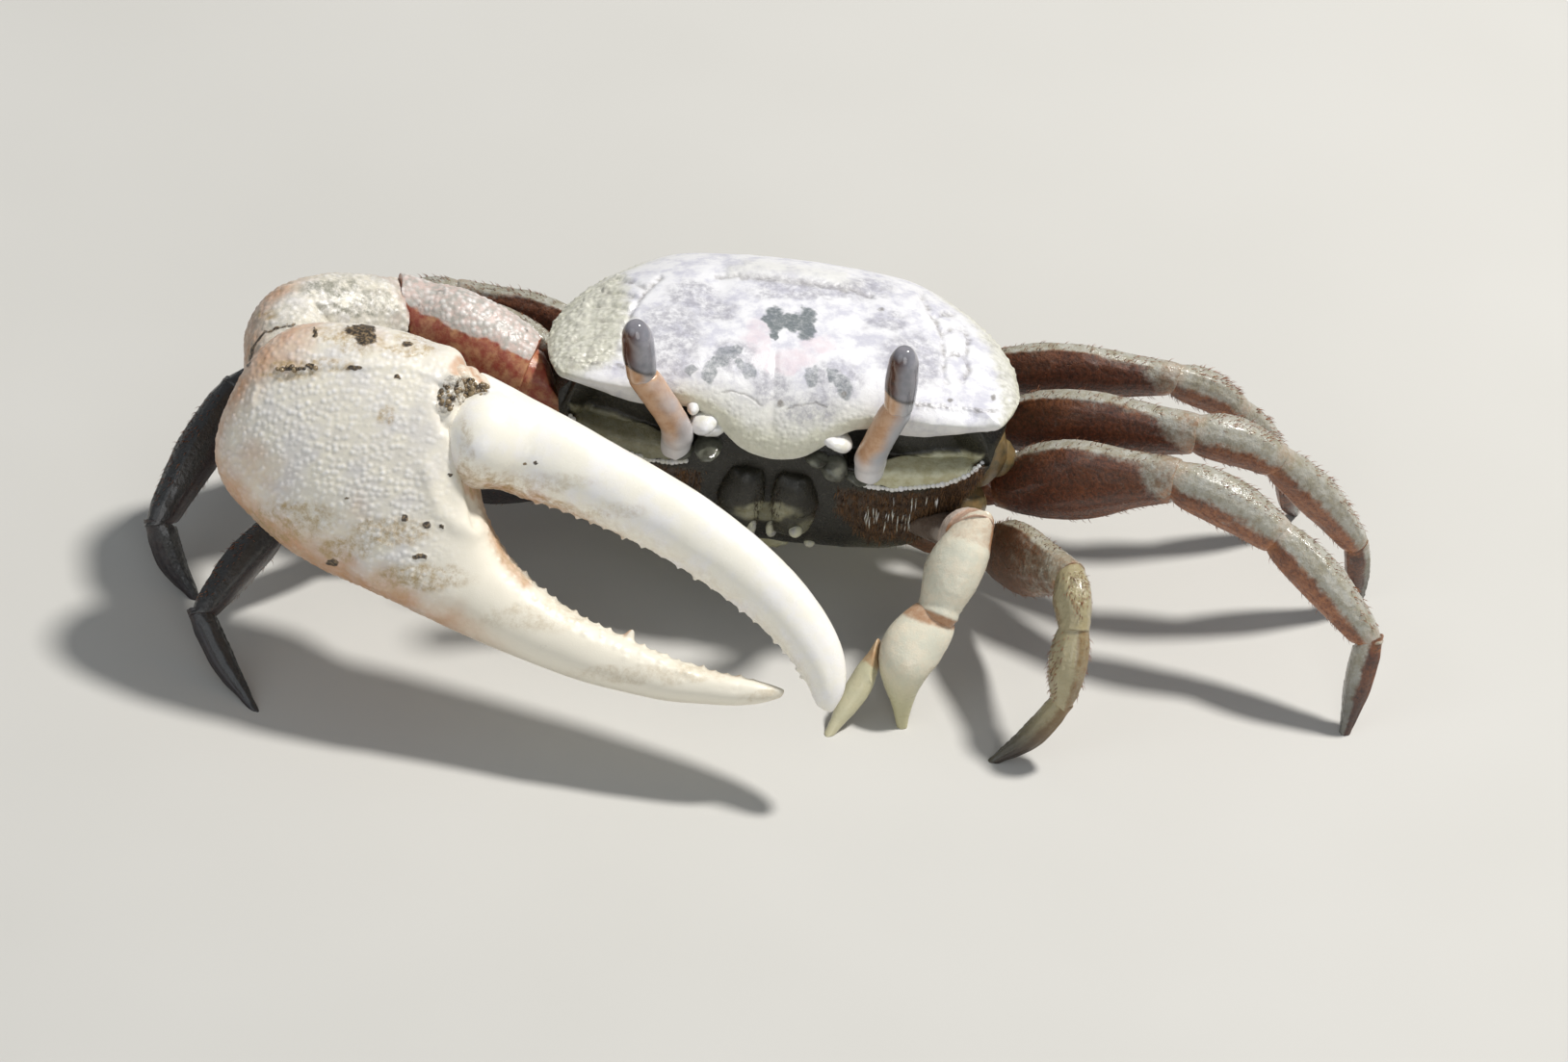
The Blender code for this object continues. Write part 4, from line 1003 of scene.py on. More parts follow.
# Small knobs of the face: design place, half sizes and lean, in millimetres
PALE_KNOBS = (
    ((-5.15, -9.3, 16.55), (1.2, 1.1, 0.72), (-0.45, 0, 1)),
    ((-6.0, -9.0, 17.6), (0.45, 0.9, 0.45), (0, 0, 1)),
    ((-4.4, -9.3, 16.1), (0.7, 1.0, 0.5), (-0.3, 0, 1)),
    ((4.45, -9.3, 16.3), (1.05, 1.1, 0.55), (0.25, 0, 1)),
)
WET_KNOBS = (
    ((4.4, -9.5, 14.15), (1.35, 1.0, 0.75), (0.3, 0, 1)),
    ((3.1, -9.6, 14.8), (0.95, 0.9, 0.42), (0.1, 0, 1)),
    ((-4.6, -9.35, 14.7), (2.1, 1.0, 0.34), (-0.15, 0, 1)),
    ((-6.5, -9.2, 13.9), (1.3, 0.9, 0.36), (-0.3, 0, 1)),
    ((6.1, -9.3, 13.4), (1.0, 0.9, 0.42), (0.4, 0, 1)),
)
PALPS = (
    ((780, 546), (0.36, 0.5, 0.85), (0.05, -0.1, 1)), ((801, 548), (0.36, 0.5, 0.85), (-0.05, -0.1, 1)),
    ((797, 566), (0.32, 0.5, 0.9), (0.15, -0.2, 1)), ((826, 551), (0.65, 0.5, 0.5), (0.1, 0, 1)),
    ((840, 563), (0.36, 0.4, 0.36), (0.1, 0, 1)),
)
BEADS_PER_CREST = 30
# The body's side walls behind the orbits, on the crab's left and mirrored
BODY_SIDES = (
    ((14.3, -5.0, 13.6), (1.9, 2.2, 3.0), (0.15, 0, 1)), ((13.6, -2.2, 12.0), (1.9, 2.6, 2.8), (0.1, 0, 1)),
    ((13.5, -6.0, 9.6), (2.2, 2.0, 1.9), (0.3, 0, 1)), ((15.6, -3.4, 12.2), (1.6, 1.6, 1.5), (0.3, 0, 1)),
)
BEAD_SIZE = 0.21
ABDOMEN_RING = 2.7


def surface_tree(*meshes):
    """One search tree over some meshes, in metres."""
    places, faces = [], []
    for mesh in meshes:
        start = len(places)
        places += [v.co.copy() for v in mesh.vertices]
        faces += [tuple(v + start for v in p.vertices) for p in mesh.polygons]
    return BVHTree.FromPolygons(places, faces)


def place_at(tree, pixel):
    """The place, in millimetres, where the photo's pixel shows the surface."""
    place = tree.ray_cast(view_place() * MM, pixel_ray(pixel))[0]
    return place / MM if place else None


def make_face(underside_mesh, mouth_meshes):
    pale = knob_finish("pale_knob", SHELL_WHITE, SHELL_CREAM, 0.16)
    wet = knob_finish("wet_knob", WET_GREY, WET_BLACK, 0.08)
    palp = knob_finish("palp", BELLY_PALE, SMUDGE_GREY, 0.2)
    make_balls("orbit_knobs", [(placed(*p), r, d) for p, r, d in PALE_KNOBS], "shell", pale, 4, 0.16)
    make_balls("antenna_bases", [(placed(*p), r, d) for p, r, d in WET_KNOBS], "mouth", wet, 4, 0.22)
    tree = surface_tree(underside_mesh, *mouth_meshes)
    palps = [(place_at(tree, pixel), radii, lean) for pixel, radii, lean in PALPS]
    make_balls("mouth_palps", [item for item in palps if item[0]], "mouth", palp, 4, 0.1)
    walls = [(placed(sign * x, y, z), r, d) for (x, y, z), r, d in BODY_SIDES for sign in (-1, 1)]
    make_balls("body_sides", walls, "belly", knob_finish("body_side", LEG_BROWN, BELLY_OLIVE, 0.3), 4, 0.2)
    beads = []
    for step in range(BEADS_PER_CREST):
        bead = place_at(tree, along_line(PLATE_CREST, step / (BEADS_PER_CREST - 1)))
        if bead is None:
            continue
        size = BEAD_SIZE * (0.8 + 0.4 * random.random())
        for twin in (bead, Vector((2 * SHIFT.x - bead.x, bead.y, bead.z))):
            beads.append((twin, (size, size, size), (0, 0, 1)))
    make_balls("orbit_beads", beads, "shell", pale, 2)


def make_mouth(material):
    hairs = Hairs("mouth_hairs")
    meshes = []
    for sign, side in ((1, "left"), (-1, "right")):
        mesh = fine_mesh(f"mouth_{side}", 3, 60, 0.1)
        points = points_of(mesh)
        low, high = points.min(axis=0), points.max(axis=0)
        across, _, level = ((points - (low + high) / 2) / (high - low) * 2).T
        outer = ease(sign * across, -0.6, 0.6)
        narrow = (0.3 * ease(level, 0.0, 1.0) + 0.1 * ease(level, -0.4, -1.0)) * across * outer
        back = 0.9 * across ** 2 * (0.3 + 0.7 * outer) + 0.9 * level ** 4
        points = points + np.stack([-narrow * (high[0] - low[0]) / 2 - 0.2 * sign, back, 0 * back], axis=1)
        points = softened(mesh, points, np.full(len(points), 0.8), 15)
        move_points(mesh, points)
        normals = normals_of(mesh)
        design = points - np.array(SHIFT)
        x, z = np.abs(design[:, 0]), design[:, 2]
        height = 0.12 * layered_noise(points, 1.3, 3, 4)
        height -= 0.06 * bell(x, 2.3, 0.25) + 0.1 * bell(z, 9.6, 0.18)
        inward = ease(normals[:, 1], 0.1, 0.6)
        points = points + normals * height[:, None] + np.outer(inward * 0.55, (0, 1, 0))
        pixels = ragged_pixels(points, 0.5, 3.0)
        paint(mesh, "pale", 0.55 * spots(pixels, MOUTH_ARC) + 0.3 * spots(pixels, MOUTH_PATCH))
        paint(mesh, "brown", ease(x, 2.8, 3.8) * 0.4)
        # Painted shade: the mouth plates darker towards their tops, under the carapace's front, and lighter
        # where olive
        shade = ease(z + 0.8 * layered_noise(points, 1.6, 3, 28), 9.2, 11.0)
        paint(mesh, "dark", (0.35 + 0.55 * shade) * (1 - 0.7 * spots(pixels, MOUTH_ARC, MOUTH_PATCH)))
        move_points(mesh, points)
        edge = (ease(x, 1.1, 0.5) + ease(x, 3.2, 3.6)) * ease(-normals[:, 1], 0, 0.4)
        hairs.grow(mesh, edge, 120, 0.5, 0.025, (0, -0.5, -0.8), 0.45, 31 + sign)
        add_piece(f"mouth_{side}_skin", mesh, "mouth", material, f"mouth_{side}")
        meshes.append(mesh)
    hairs.finish("mouth", hair_finish("mouth_hair", HAIR_BROWN, BELLY_OLIVE))
    return meshes


def make_abdomen(material):
    mesh = fine_mesh("abdomen", 3, 50, 0.6)
    points, normals = points_of(mesh), normals_of(mesh)
    _, y, z = (points - np.array(SHIFT)).T
    # How far along the plate's bent middle line a point lies, in widths of one ring
    ring = np.where(z > 5.0, 14.0 - z, 9.0 + (9.0 - y)) / ABDOMEN_RING
    groove = bell(ring, np.round(ring), 0.06)
    outward = ease(normals[:, 1] * 0.6 - normals[:, 2], -0.2, 0.4)
    height = 0.05 * layered_noise(points, 1.2, 3, 6) - 0.2 * groove * outward + 0.5 * (1 - outward)
    paint(mesh, "pale", np.clip(0.85 - 0.7 * groove, 0, 1))
    paint(mesh, "brown", groove * 0.6)
    paint(mesh, "dark", np.zeros(len(points)))
    raise_skin(mesh, points, normals, height)
    add_piece("abdomen_skin", mesh, "belly", material, "abdomen")


# Eyes
# The side of the eyes that gets painted cool light
COOL_LIGHT_SIDE = (0.75, -0.2, -0.35)


def stalk_cool(points, normals, side):
    """How bluish the stalk is, as painted cool light mostly on the side away from the midline's warm light.
    """
    turned = normals @ np.array(COOL_LIGHT_SIDE) + 0.25 * layered_noise(points, 1.2)
    return (0.7 if side == "right" else 0.9) * ease(turned, 0.2 if side == "right" else -0.1, 0.7)


def height_share(points):
    """How high each point lies between the lowest and the highest, from 0 to 1."""
    low, high = points[:, 2].min(), points[:, 2].max()
    return (points[:, 2] - low) / (high - low)


def make_stalk(side, material):
    mesh = fine_mesh(f"eyestalk_{side}", 3, 50, 0.3)
    points, normals = points_of(mesh), normals_of(mesh)
    share = height_share(points)
    height = 0.13 + 0.05 * layered_noise(points, 1.1, 3, 2) + 0.1 * bell(share, 0.2, 0.12)
    height -= 0.2 * ease(share, 0.9, 1.0)
    sink = ease(share, 0.12, 0.0) * 0.5 - ease(share, 0.9, 1.0) * 0.3
    paint(mesh, "cool", stalk_cool(points, normals, side))
    paint(mesh, "foot", 0.85 * ease(share + 0.1 * layered_noise(points, 0.8), 0.45, 0.1))
    raise_skin(mesh, points, normals, height, np.outer(sink, (0, 0, -1)))
    add_piece(f"eyestalk_{side}_skin", mesh, "stalk", material, f"eyestalk_{side}")


def make_eye(side, material):
    mesh = fine_mesh(f"eye_{side}", 3, 60, 0.1)
    points, normals = points_of(mesh), normals_of(mesh)
    share = height_share(points)
    foot_share = share + 0.09 * normals[:, 0] + 0.03 * layered_noise(points, 1.0)
    # Painted light on the cornea: grey-blue reflection on the cool side, and a grey painted highlight at the
    # top
    cool = 0.85 * ease(normals @ np.array(COOL_LIGHT_SIDE) + 0.2 * layered_noise(points, 1.6), -0.25, 0.45)
    paint(mesh, "cool", np.clip(most(cool, 0.75 * ease(share, 0.84, 0.95)), 0, 1))
    paint(mesh, "dark", 0.75 * bell(foot_share, 0.24, 0.035))
    paint(mesh, "skin", ease(foot_share, 0.25, 0.2))
    paint(mesh, "skin_cool", stalk_cool(points, normals, side))
    # The eye's foot laps over the stalk's end
    lap = np.outer(ease(share, 0.2, 0.0) * 0.4, (0.12 if side == "right" else -0.05, 0, -1))
    raise_skin(mesh, points, normals, 0.07 + 0.14 * ease(share, 0.55, 0.85), lap)
    add_piece(f"eye_{side}_skin", mesh, "cornea", material, f"eye_{side}")


def make_eyes():
    stalk_look = stalk_finish()
    cornea_look = cornea_finish()
    for side in ("left", "right"):
        make_stalk(side, stalk_look)
        make_eye(side, cornea_look)


# Large claw: its own axes, as in the solids
PALM_HEEL = (-38.0, -17.0, 17.6)
CLAW_TIP = (6.0, -29.3, 8.0)
CLAW_FACE = (0.0, -0.848, 0.53)
# Distance, height and outward place of the knuckle, and its half sizes
KNUCKLE = ((16.9, 6.7, 0.9), (3.3, 3.7, 3.75))
# Lines on the claw by photo pixel
UPPER_RIDGE = ((262, 420), (268, 398), (290, 385), (312, 383), (345, 378), (382, 381), (420, 380),
               (452, 392))
KNUCKLE_GROOVE = ((457, 400), (456, 425), (462, 443), (473, 449), (479, 476), (485, 500), (491, 520),
                  (494, 545))
OBLIQUE_RIDGE = ((444, 488), (449, 512), (457, 532), (474, 545), (492, 552))
GAPE_EDGE = ((497, 520), (512, 560), (530, 588), (560, 618), (600, 645), (650, 672), (720, 700))
# Width, line and height of the palm's ridges, and of its groove below the surface
PALM_LINES = (
    (7.0, UPPER_RIDGE, 0.14), (9.0, KNUCKLE_GROOVE, -0.35), (16.0, OBLIQUE_RIDGE, 0.2),
    (7.0, GAPE_EDGE, 0.06),
)
# A painted shadow line along the palm's top seam next to the carpus, drawn with the mud layer
SEAM_SHADOW_LINE = ((258, 380), (263, 358), (274, 346), (288, 341), (306, 337))
TAN_SPOTS = ((484, 380, 18, 10), (497, 508, 14, 9))
OCHRE_SPOTS = (
    (407, 551, 44, 16), (361, 570, 30, 14), (484, 470, 8, 40), (322, 380, 48, 9), (345, 347, 24, 8),
    (440, 350, 30, 7), (372, 355, 28, 13), (500, 500, 18, 16), (300, 540, 50, 22), (424, 364, 30, 7),
    (440, 600, 50, 14), (276, 327, 12, 5), (402, 432, 9, 10), (402, 432, 5, 6), (300, 388, 30, 8),
)
PALE_OCHRE_SPOTS = (
    (640, 530, 34, 9), (560, 500, 60, 10), (560, 640, 60, 16), (680, 700, 90, 10), (800, 722, 30, 6),
)
GAPE_CORNER = ((492, 488), (499, 508), (506, 530), (513, 560), (525, 583), (546, 606))
FINGER_HEM = ((508, 505), (540, 512), (575, 524), (612, 544), (650, 566))
MUD_SPOTS = (
    (374, 343, 18, 6), (380, 352, 12, 8), (300, 384, 12, 2.5), (322, 381, 5, 4), (420, 538, 4, 5),
    (443, 545, 6, 4), (458, 547, 2.5, 2.5), (467, 493, 3, 2.5), (436, 578, 9, 3), (345, 584, 7, 4),
    (423, 358, 7, 2.5), (368, 383, 10, 2.5), (545, 482, 2.5, 2), (556, 481, 2.5, 2), (361, 518, 3, 2),
    (327, 346, 2.5, 6), (412, 392, 4, 3),
)
HINGE_DIRT = ((470, 396, 13, 9), (486, 404, 15, 10), (503, 404, 9, 7), (461, 420, 9, 12), (474, 412, 10, 9))
GREY_SPOTS = ((384, 310, 26, 8), (344, 300, 30, 10), (372, 320, 40, 8))
CRACK = ((420, 294), (426, 312), (430, 326), (438, 344))
HINGE_SKIN = (((484, 390), (0.9, 1.6, 0.7)), ((494, 402), (1.1, 1.4, 0.9)), ((477, 404), (1.0, 1.3, 0.8)))
HINGE_OUT = 0.9
# Middle x and y, half width and half height, and number of the sand grains
SAND = ((488, 403, 18, 9, 34), (466, 412, 10, 14, 22), (310, 382, 26, 3, 10),
        (378, 309, 22, 5, 12), (500, 404, 8, 7, 12))
DARK_GRAINS = 0.4
# How far apart the granules of each part are
GRANULE_GAPS = {
    "palm": 0.43, "gape": 0.62, "teeth": 0.5, "carpus": 0.48, "arm": 0.44, "leg": 0.34, "minor": 0.4,
}


def claw_axes():
    along = (Vector(CLAW_TIP) - Vector(PALM_HEEL)).normalized()
    face = Vector(CLAW_FACE)
    face = (face - along * face.dot(along)).normalized()
    return along, face.cross(along), face


def claw_place(distance, height, out=0.0):
    along, up, face = claw_axes()
    return placed(*PALM_HEEL) + along * distance + up * height + face * out


def claw_pixel(pixel, out):
    """The place that a pixel shows on the plane that lies out from the claw's middle."""
    start, way, face = view_place(), pixel_ray(pixel), claw_axes()[2]
    return start + way * ((claw_place(0, 0, out) - start).dot(face) / way.dot(face))


def claw_places(points):
    """Distance, height and outward place of each point on the large claw's own axes."""
    offset = points - np.array(placed(*PALM_HEEL))
    return [offset @ np.array(axis) for axis in claw_axes()]


def claw_dirt_and_seam_shadow(mesh, points, normals):
    """Paints the stains that the photo shows, a few more on the sides that it doesn't, and a painted shadow
    line along the palm's top seam.
    """
    along, up, _ = claw_axes()
    distance = claw_places(points)[0]
    seen = facing_view(normals)
    pixels = ragged_pixels(points, 0.7, 4.0)
    fine = ragged_pixels(points, 0.25, 1.5)
    cloud = layered_noise(points, 2.6, 4, 41)
    low_side = ease(-normals @ np.array(up) + 0.4 * cloud, 0.15, 0.85) * ease(distance, 27.0, 17.0)
    heel = ease(-normals @ np.array(along) + 0.4 * cloud, 0.2, 0.85)
    stray = ease(cloud, 0.35, 0.8) * (1 - seen)
    corner = strokes(fine, 9.0, GAPE_CORNER, FINGER_HEM)
    tan_spots = 0.8 * spots(pixels, *TAN_SPOTS) * seen
    paint(mesh, "tan", most(0.95 * low_side, 0.9 * heel, 0.5 * stray, tan_spots, 0.8 * corner))
    ochre = 0.95 * spots(pixels, *OCHRE_SPOTS) + 0.4 * spots(pixels, *PALE_OCHRE_SPOTS) + 0.6 * corner
    paint(mesh, "ochre", np.clip(ochre * seen + 0.4 * stray + 0.35 * low_side, 0, 1))
    hinge = spots(pixels, *HINGE_DIRT) * seen
    flecks = ease(layered_noise(points, 0.9, 2, 47), 0.62, 0.8) * 0.3
    mud = most(spots(fine, *MUD_SPOTS) * 0.8 * seen, hinge * 0.5)
    # The mud layer also takes the painted shadow line along the palm's top seam
    paint(mesh, "mud", most(mud, flecks, 0.75 * strokes(fine, 4.0, SEAM_SHADOW_LINE) * seen))
    return hinge, mud


def make_palm(material):
    mesh = fine_mesh("major_palm", 2, 50, 0.7, 0.115)
    points = points_of(mesh)
    distance, height, _ = claw_places(points)
    move_points(mesh, softened(mesh, points, 0.15 + 0.85 * ease(distance, 16.0, 19.0), 7))
    points, normals = points_of(mesh), normals_of(mesh)
    pixels = to_pixels(points)
    seen = facing_view(normals)
    dome, tone = granules(points, GRANULE_GAPS["palm"], 2)
    beads, bead_tone = granules(points, GRANULE_GAPS["gape"], 31, 0.5)
    palm_part = ease(distance + 0.4 * height + 0.8 * layered_noise(points, 2.5), 20.0, 13.0)
    outer = ease(normals @ np.array(claw_axes()[2]), -0.3, 0.3)
    rough = palm_part * (0.35 + 0.65 * outer) * (0.97 + 0.3 * layered_noise(points, 2.4, 2, 61))
    hinge, mud = claw_dirt_and_seam_shadow(mesh, points, normals)
    rise = 0.1 * layered_noise(points, 4.0, 3, 3) + 0.07 * dome * rough * (0.6 + 0.6 * tone)
    for width, line, amount in PALM_LINES:
        rise += amount * strokes(pixels, width, line) * seen
    rise += 0.2 * hinge * (0.5 + layered_noise(points, 0.5, 3, 17)) + 0.07 * mud
    rise += 0.16 * beads * bead_tone * strokes(pixels, 16.0, GAPE_EDGE) * ease(distance, 17.0, 19.0)
    rise -= 0.03 * ease(layered_noise(points, 0.8, 2, 23), 0.55, 0.75) * (1 - rough)
    paint(mesh, "granule", np.clip(dome ** 1.5 * rough * (0.45 + 0.45 * tone), 0, 1))
    paint(mesh, "smooth", 1 - rough)
    paint(mesh, "grey", 0.6 * spots(ragged_pixels(points, 0.8, 5.0), *GREY_SPOTS) * seen)
    paint(mesh, "red", np.zeros(len(points)))
    raise_skin(mesh, points, normals, rise)
    add_piece("major_palm_skin", mesh, "claw", material, "major_palm")
    return mesh


def make_hinge(palm_mesh, finger_mesh):
    """The soft skin between palm and finger, and the sand caught on it."""
    up = claw_axes()[1]
    skin = [(claw_pixel(pixel, HINGE_OUT), radii, up) for pixel, radii in HINGE_SKIN]
    soft_look = knob_finish("hinge_skin", CLAW_CREAM, STAIN_TAN, 0.3)
    hinge = make_balls("hinge_skin", skin, "claw", soft_look, 4, 0.2)
    tree = surface_tree(palm_mesh, finger_mesh, hinge.data)
    grains = {"dark": [], "tan": []}
    for middle_x, middle_y, wide, high, count in SAND:
        for _ in range(count):
            turn, reach = random.random() * 2 * math.pi, math.sqrt(random.random())
            pixel = (middle_x + wide * reach * math.cos(turn), middle_y + high * reach * math.sin(turn))
            size = random.uniform(0.1, 0.26)
            place = place_at(tree, pixel)
            if place:
                lean = (random.random() - 0.5, random.random() - 0.5, 1)
                kind = "dark" if random.random() < DARK_GRAINS else "tan"
                grains[kind].append((place, (size, size * 0.8, size * random.uniform(0.6, 1.1)), lean))
    make_balls("dark_sand", grains["dark"], "claw", knob_finish("dark_sand", MUD, MUD_BROWN, 0.25), 2)
    make_balls("pale_sand", grains["tan"], "claw", knob_finish("pale_sand", MUD_BROWN, SAND_TAN, 0.25), 2)


def make_finger(material):
    along, up, face = claw_axes()
    place, radii = KNUCKLE
    turn = Matrix((along, up, face)).transposed()
    mesh = fine_mesh("major_finger", 2, 50, 0.7, 0.12, [(claw_place(*place), radii, turn)])
    # The knuckle runs smoothly into the finger
    near = ease(claw_places(points_of(mesh))[0], 22.5, 19.0)
    low_edge = ease(-normals_of(mesh) @ np.array(up), 0.2, 0.6)
    points = softened(mesh, points_of(mesh), most(near, 0.5 * low_edge), 8)
    move_points(mesh, softened(mesh, points, near, 60))
    points, normals = points_of(mesh), normals_of(mesh)
    distance = claw_places(points)[0]
    seen = facing_view(normals)
    hinge, _ = claw_dirt_and_seam_shadow(mesh, points, normals)
    lower = ease(-normals @ np.array(up), 0.25, 0.8)
    teeth = granules(points, GRANULE_GAPS["teeth"], 6, 0.5)[0]
    teeth *= ease(lower, 0.6, 1.0) * ease(distance, 17.0, 20.0)
    rise = 0.06 * layered_noise(points, 3.5, 3, 8) + 0.15 * hinge * layered_noise(points, 0.5, 3, 18)
    rise += 0.05 * teeth
    pixels = ragged_pixels(points, 0.7, 4.0)
    hem = strokes(pixels, 9.0, FINGER_HEM)
    paint(mesh, "tan", np.clip(0.9 * hem + 0.35 * lower * ease(distance, 26, 17), 0, 1))
    stains = 0.5 * spots(pixels, *OCHRE_SPOTS) + 0.4 * spots(pixels, *PALE_OCHRE_SPOTS)
    paint(mesh, "ochre", np.clip(stains * seen + 0.6 * hem + 0.25 * lower, 0, 1))
    raise_skin(mesh, points, normals, rise)
    add_piece("major_finger_skin", mesh, "finger", material, "major_finger")
    return mesh


def make_carpus(material):
    start = joint_place("major_carpus", "major_merus")
    end = joint_place("major_carpus", "major_palm")
    mesh = fine_mesh("major_carpus", 2, 50, 0.6, 0.12)
    points, normals = points_of(mesh), normals_of(mesh)
    points = closer_joints(points, start, end, 0.45, 0.7)
    seen = facing_view(normals)
    dome, tone = granules(points, GRANULE_GAPS["carpus"], 9)
    top = ease(normals[:, 2] + 0.3 * layered_noise(points, 1.8), -0.4, 0.2)
    near_arm = np.exp(-(np.linalg.norm(points - start, axis=1) / 3.6) ** 4)
    _, mud = claw_dirt_and_seam_shadow(mesh, points, normals)
    crack = strokes(ragged_pixels(points, 0.5, 2.5), 8.0, CRACK) * seen
    red_patch = near_arm * ease(soft_noise(points, 0.8, 3), 0.0, 0.6)
    paint(mesh, "granule", np.clip(dome ** 1.4 * top * (0.4 + 0.5 * tone), 0, 1))
    paint(mesh, "smooth", 0.2 * (1 - top))
    paint(mesh, "grey", np.clip(spots(ragged_pixels(points), *GREY_SPOTS) * seen * 0.7 + 0.45 * top, 0, 1))
    paint(mesh, "red", np.clip(crack * 0.85 + 0.25 * red_patch, 0, 1))
    rise = 0.14 * layered_noise(points, 3.0, 3, 7) + 0.075 * dome * top - 0.2 * crack + 0.08 * mud
    raise_skin(mesh, points, normals, rise)
    add_piece("major_carpus_skin", mesh, "claw", material, "major_carpus")


def make_arm(material):
    seat = joint_place("major_base", "underside")
    shoulder = joint_place("major_merus", "major_base")
    elbow = joint_place("major_merus", "major_carpus")
    for part, start, end in (("base", seat, shoulder), ("merus", shoulder, elbow)):
        mesh = fine_mesh(f"major_{part}", 4, 50, 0.5)
        points, normals = points_of(mesh), normals_of(mesh)
        points = closer_joints(points, start, end, 0.5, 1.1 if part == "merus" else 0.5)
        dome, tone = granules(points, GRANULE_GAPS["arm"], 12)
        dorsal = ease(normals[:, 2] + 0.3 * normals[:, 1] + 0.2 * layered_noise(points, 1.6), 0.3, 0.6)
        dorsal *= 0.15 if part == "base" else 1.0
        paint(mesh, "dorsal", dorsal)
        paint(mesh, "granule", dome * dorsal * (0.2 + 0.6 * tone))
        paint(mesh, "mud", ease(layered_noise(points, 1.4, 3, 15), 0.25, 0.6) * dorsal * 0.5)
        rise = 0.1 * layered_noise(points, 2.2, 3, 5) + 0.08 * dome * dorsal
        raise_skin(mesh, points, normals, rise)
        add_piece(f"major_{part}_skin", mesh, "arm", material, f"major_{part}")


# Limbs
# How near a neighbour the points of a joint lie, and the length over which a segment's end is changed
JOINT_SEARCH = 0.75
CUP_RUN = 0.9
LEG_CHAIN = ("base", "merus", "carpus", "propodus", "dactyl")
# Where the pale upper face of a segment begins, from 0 at its side to 1 on top
DORSAL_FROM = {"base": 0.8, "merus": 0.78, "carpus": 0.15, "propodus": 0.15, "dactyl": 0.4}
# How far the far end of a segment is drawn in, where more or less than the usual
END_TAPER = {"propodus": 0.24, "dactyl": 0.0, "carpus": 0.1}
FACE_WARMTH = {"base": 0.3, "merus": 0.1, "carpus": 0.75, "propodus": 0.8, "dactyl": 0.35}
# The paler leg, how olive its segments are, and how pale they are above at least
PALE_LEG = "leg2_left"
PALE_SHARE = {"base": 0.2, "merus": 0.2, "carpus": 0.88, "propodus": 0.85, "dactyl": 0.9}
PALE_TOPS = {"merus": 0.35, "carpus": 0.42, "propodus": 0.42}
# Legs dark on all segments from wet mud and painted shade, as they stand in shadow, and how much of it they
# and the feet of the others have
MUDDY_SHADED_LEGS = ("leg2_right", "leg3_right")
MUD_AND_SHADE_SHARE = 0.93
FOOT_SHARE = 0.63
PALE_FOOT_SHARE = 0.84
VELVET_HAIRS = {"merus": 900, "carpus": 420, "propodus": 420}
# How amber the minor claw is at each segment's near and far end
MINOR_RINGS = {
    "base": (0.2, 0.3), "merus": (0.3, 0.7), "carpus": (0.5, 0.9), "palm": (0.8, 0.0), "finger": (0.7, 0.0),
}


def joint_place(node, neighbour):
    """The middle of the node's face that meets its neighbour."""
    points = points_of(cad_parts[node].data)
    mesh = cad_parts[neighbour].data
    corners = [corner.co.copy() for corner in mesh.vertices]
    tree = BVHTree.FromPolygons(corners, [tuple(polygon.vertices) for polygon in mesh.polygons])
    gaps = np.array([tree.find_nearest(Vector(p) * MM)[3] / MM for p in points])
    return points[gaps < max(JOINT_SEARCH, gaps.min() + 0.3)].mean(axis=0)


def closer_joints(points, start, end, backward, forward, taper=0.03):
    """Slides a segment's ends over the gaps to its neighbours, its start drawn in like a ball."""
    length = np.linalg.norm(end - start)
    heading = (end - start) / length
    along = (points - start) @ heading
    radial = points - start - np.outer(along, heading)
    near_start = ease(along, CUP_RUN, 0.0)
    near_end = ease(along, length - CUP_RUN, length)
    points = points + np.outer(near_end * forward - near_start * backward, heading)
    return points - radial * (0.1 * near_start + taper * near_end)[:, None]


def foot_place(node):
    """The middle of the node's lowest end, where it stands on the floor."""
    points = points_of(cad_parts[node].data)
    return points[points[:, 2] < 0.1].mean(axis=0)


def limb_joints(nodes, carrier="underside"):
    """Middles of the joints along a chain of nodes, from the body to the foot."""
    places = [joint_place(nodes[0], carrier)]
    for first, second in zip(nodes, nodes[1:]):
        places.append((joint_place(first, second) + joint_place(second, first)) / 2)
    places.append(foot_place(nodes[-1]))
    return places


def upward_side(heading, part):
    """The side of a segment that counts as its top, square to the way it points."""
    up = np.array((0, 0, 1.0)) - heading * heading[2]
    if part in ("propodus", "dactyl"):
        # Steep segments turn their outer side up
        up = up + 0.9 * np.array((np.sign(heading[0] + 1e-6), 0, 0)) * abs(heading[2])
    return up / np.linalg.norm(up)


